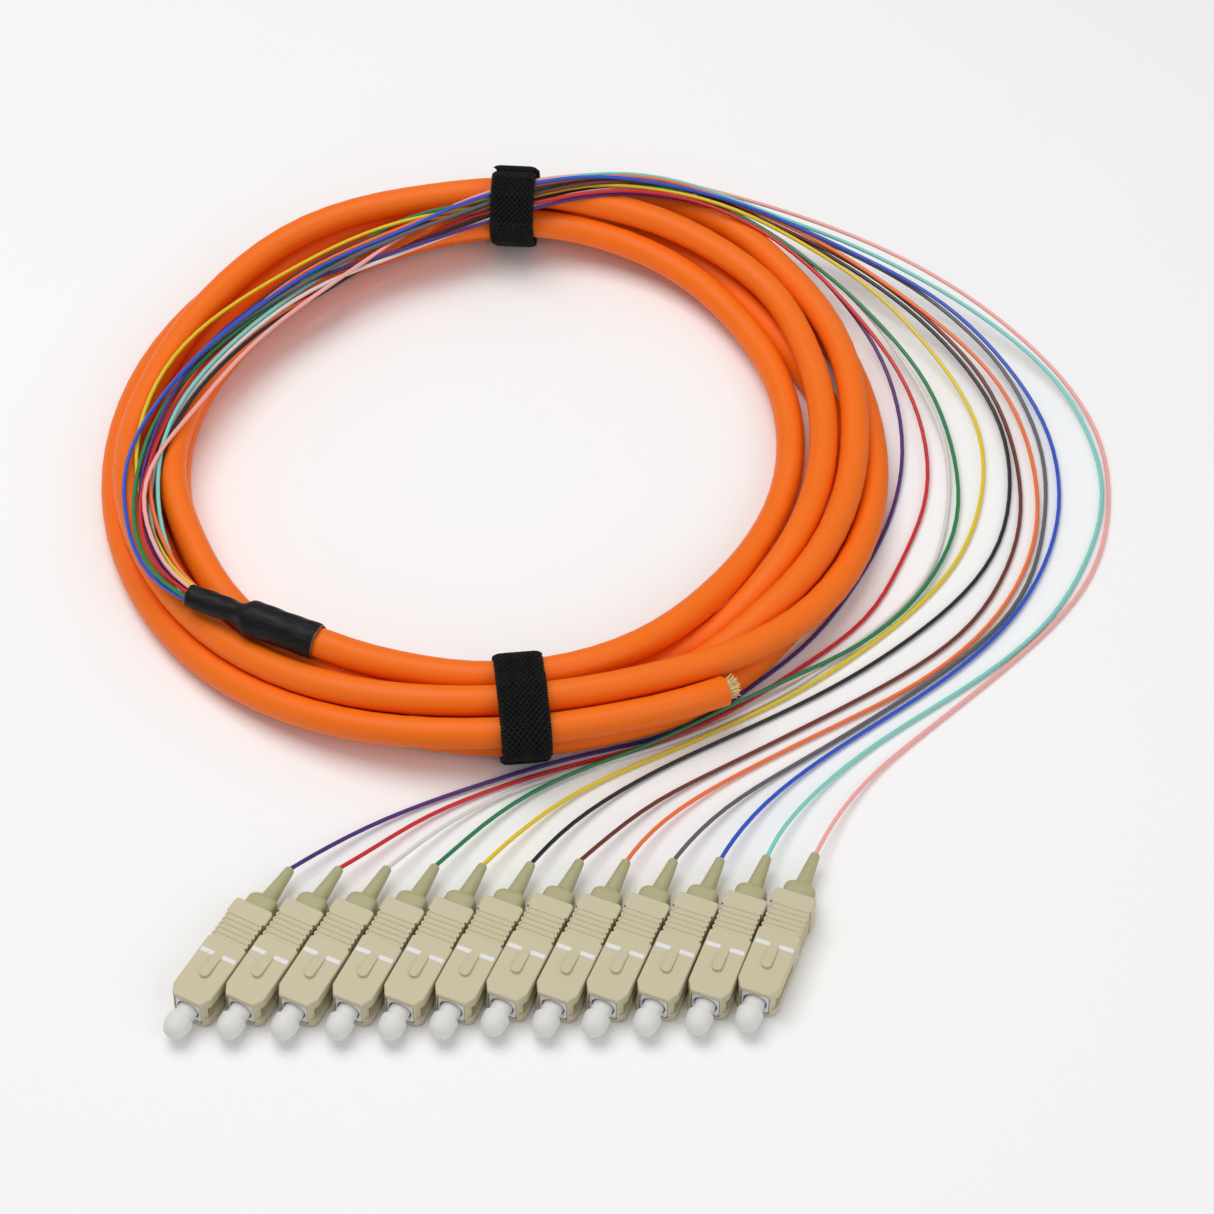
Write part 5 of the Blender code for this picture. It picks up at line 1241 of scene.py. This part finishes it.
def finish(name):
    """The finished material of this name, made once."""
    if name in LOOKS:
        return LOOKS[name]
    colour, roughness, change, patch, grain, depth, specks, shader = FINISHES.get(name) or fibre_finish(name)
    look = bpy.data.materials.new(name)
    look.use_nodes = True
    tree = look.node_tree
    skin_shader = tree.nodes["Principled BSDF"]
    for key, value in shader.items():
        skin_shader.inputs[key].default_value = value
    surface = add_node(tree, "Group", node_tree=shared_group(moulded_surface_group))
    for key, value in (("Colour", tint(*colour)), ("Roughness", roughness), ("Tone change", change),
                       ("Patch scale", 1 / (patch * MM)), ("Grain scale", 1 / (grain * MM)),
                       ("Grain depth", depth * MM), ("Specks", specks)):
        surface.inputs[key].default_value = value
    base, rough, normal = (surface.outputs[key] for key in ("Colour", "Roughness", "Normal"))
    if name in STREAKED or name in FIBRE_COLOURS:
        width, length, strength = STREAKED.get(name, STREAKED["fibres"])
        streaks = add_node(tree, "Group", {"Line width": width, "Line length": length, "Strength": strength},
                           node_tree=shared_group(drawn_streaks_group)).outputs
        rough = maths(tree, "ADD", rough, streaks["Scuffs"])
        base = mixed(tree, streaks["Scuffs"], base, tint(*SCUFF))
        relief = add_node(tree, "Bump", {"Height": streaks["Streaks"], "Distance": STREAK_DEPTH, "Normal": normal})
        normal = relief.outputs["Normal"]
    if name == "strap":
        base, rough, normal = strap_weave(tree, base, rough, normal)
    for key, socket in (("Base Color", base), ("Roughness", rough), ("Normal", normal)):
        tree.links.new(socket, skin_shader.inputs[key])
    LOOKS[name] = look
    return look


def strap_weave(tree, base, rough, normal):
    """Crossed threads at two slants, with painted grey highlights where the odd hook catches the light."""
    where = add_node(tree, "UVMap", uv_map="lengths").outputs["UV"]
    turned = add_node(tree, "Mapping", {"Vector": where, "Rotation": (0, 0, math.radians(45))}).outputs[0]
    threads = []
    for direction in ("X", "Y"):
        wave = add_node(tree, "TexWave", {"Vector": turned, "Scale": THREAD_SCALE, "Distortion": 1.2, "Detail": 2.0,
                                          "Detail Scale": 2.0}, bands_direction=direction)
        threads.append(wave.outputs["Fac"])
    crossed = maths(tree, "MAXIMUM", threads[0], threads[1])
    fuzz = add_node(tree, "TexNoise", {"Vector": where, "Scale": 4.5, "Detail": 3.0}).outputs["Fac"]
    # Painted highlight: scattered spots on the threads are coloured grey and made smoother
    highlight_spots = within(tree, fuzz, 0.64, 0.72)
    light = maths(tree, "MULTIPLY", highlight_spots, crossed)
    lit = maths(tree, "MULTIPLY", light, 0.55)
    colour = mixed(tree, lit, base, tint(*HOOK_HIGHLIGHT))
    height = maths(tree, "ADD", crossed, fuzz)
    bump = add_node(tree, "Bump", {"Height": height, "Distance": THREAD_DEPTH, "Normal": normal})
    smoother = maths(tree, "MULTIPLY_ADD", lit, -0.5, rough)
    return colour, smoother, bump.outputs["Normal"]


def fibre_finish(name):
    return (FIBRE_COLOURS[name], 0.34, 0.05, 8, 0.3, 0.002, 0.0, {"Coat Weight": 0.15, "Coat Roughness": 0.2})


# Surroundings

def add_surroundings():
    floor = bpy.data.meshes.new("floor")
    corners = rectangle(-STAGE_REACH, STAGE_REACH, -STAGE_REACH, STAGE_REACH)
    floor.from_pydata([(x, y, 0) for x, y in corners], [], [(0, 1, 2, 3)])
    add_piece("floor", floor, [finish("floor")], Matrix.Translation((0, 0, FLOOR_DROP)))
    world = bpy.data.worlds.new("studio")
    world.use_nodes = True
    sky = world.node_tree.nodes["Background"]
    sky.inputs["Color"].default_value = (1, 1, 1, 1)
    sky.inputs["Strength"].default_value = SKY_STRENGTH
    bpy.context.scene.world = world
    for name, place, size, power in SOFT_LIGHTS:
        light = bpy.data.lights.new(name, "AREA")
        light.size, light.energy = size, power
        lamp = bpy.data.objects.new(name, light)
        bpy.context.scene.collection.objects.link(lamp)
        lamp.location = place
        lamp.rotation_euler = (Vector(LIGHT_AIM) - Vector(place)).to_track_quat("-Z", "Y").to_euler()


def add_camera():
    data = bpy.data.cameras.new("camera")
    data.lens, data.sensor_width = CAMERA_LENS, CAMERA_SENSOR
    data.clip_start, data.clip_end = 0.01, 20
    camera = bpy.data.objects.new("camera", data)
    bpy.context.scene.collection.objects.link(camera)
    camera.matrix_world = (Matrix.Translation(CAMERA_PLACE) @ Matrix.Rotation(CAMERA_TILT, 4, "X")
                           @ Matrix.Rotation(CAMERA_ROLL, 4, "Z"))
    bpy.context.scene.camera = camera


def build():
    add_camera()
    coil, fibres = fine_cords()
    add_trunk(coil)
    meshes = [grip_mesh(), *plug_meshes()]
    for mesh, looks in zip(meshes, (("grip", "mark"), ("plug",), ("boot",), ("cap",))):
        for look in looks:
            mesh.materials.append(finish(look))
    for name in ROUTES:
        carried = add_connector(name, meshes)
        add_fibre(name, fibres[name])
    add_sleeve()
    add_yarn(coil)
    add_strap("strap_top_woven", "strap_top", STRAP_TOP_ANGLE, STRAP_TOP_START, coil, fibres.values())
    add_strap("strap_bottom_woven", "strap_bottom", STRAP_BOTTOM_ANGLE, STRAP_BOTTOM_START, coil, [])
    add_surroundings()
    bpy.context.scene.view_settings.view_transform = "Standard"


build()
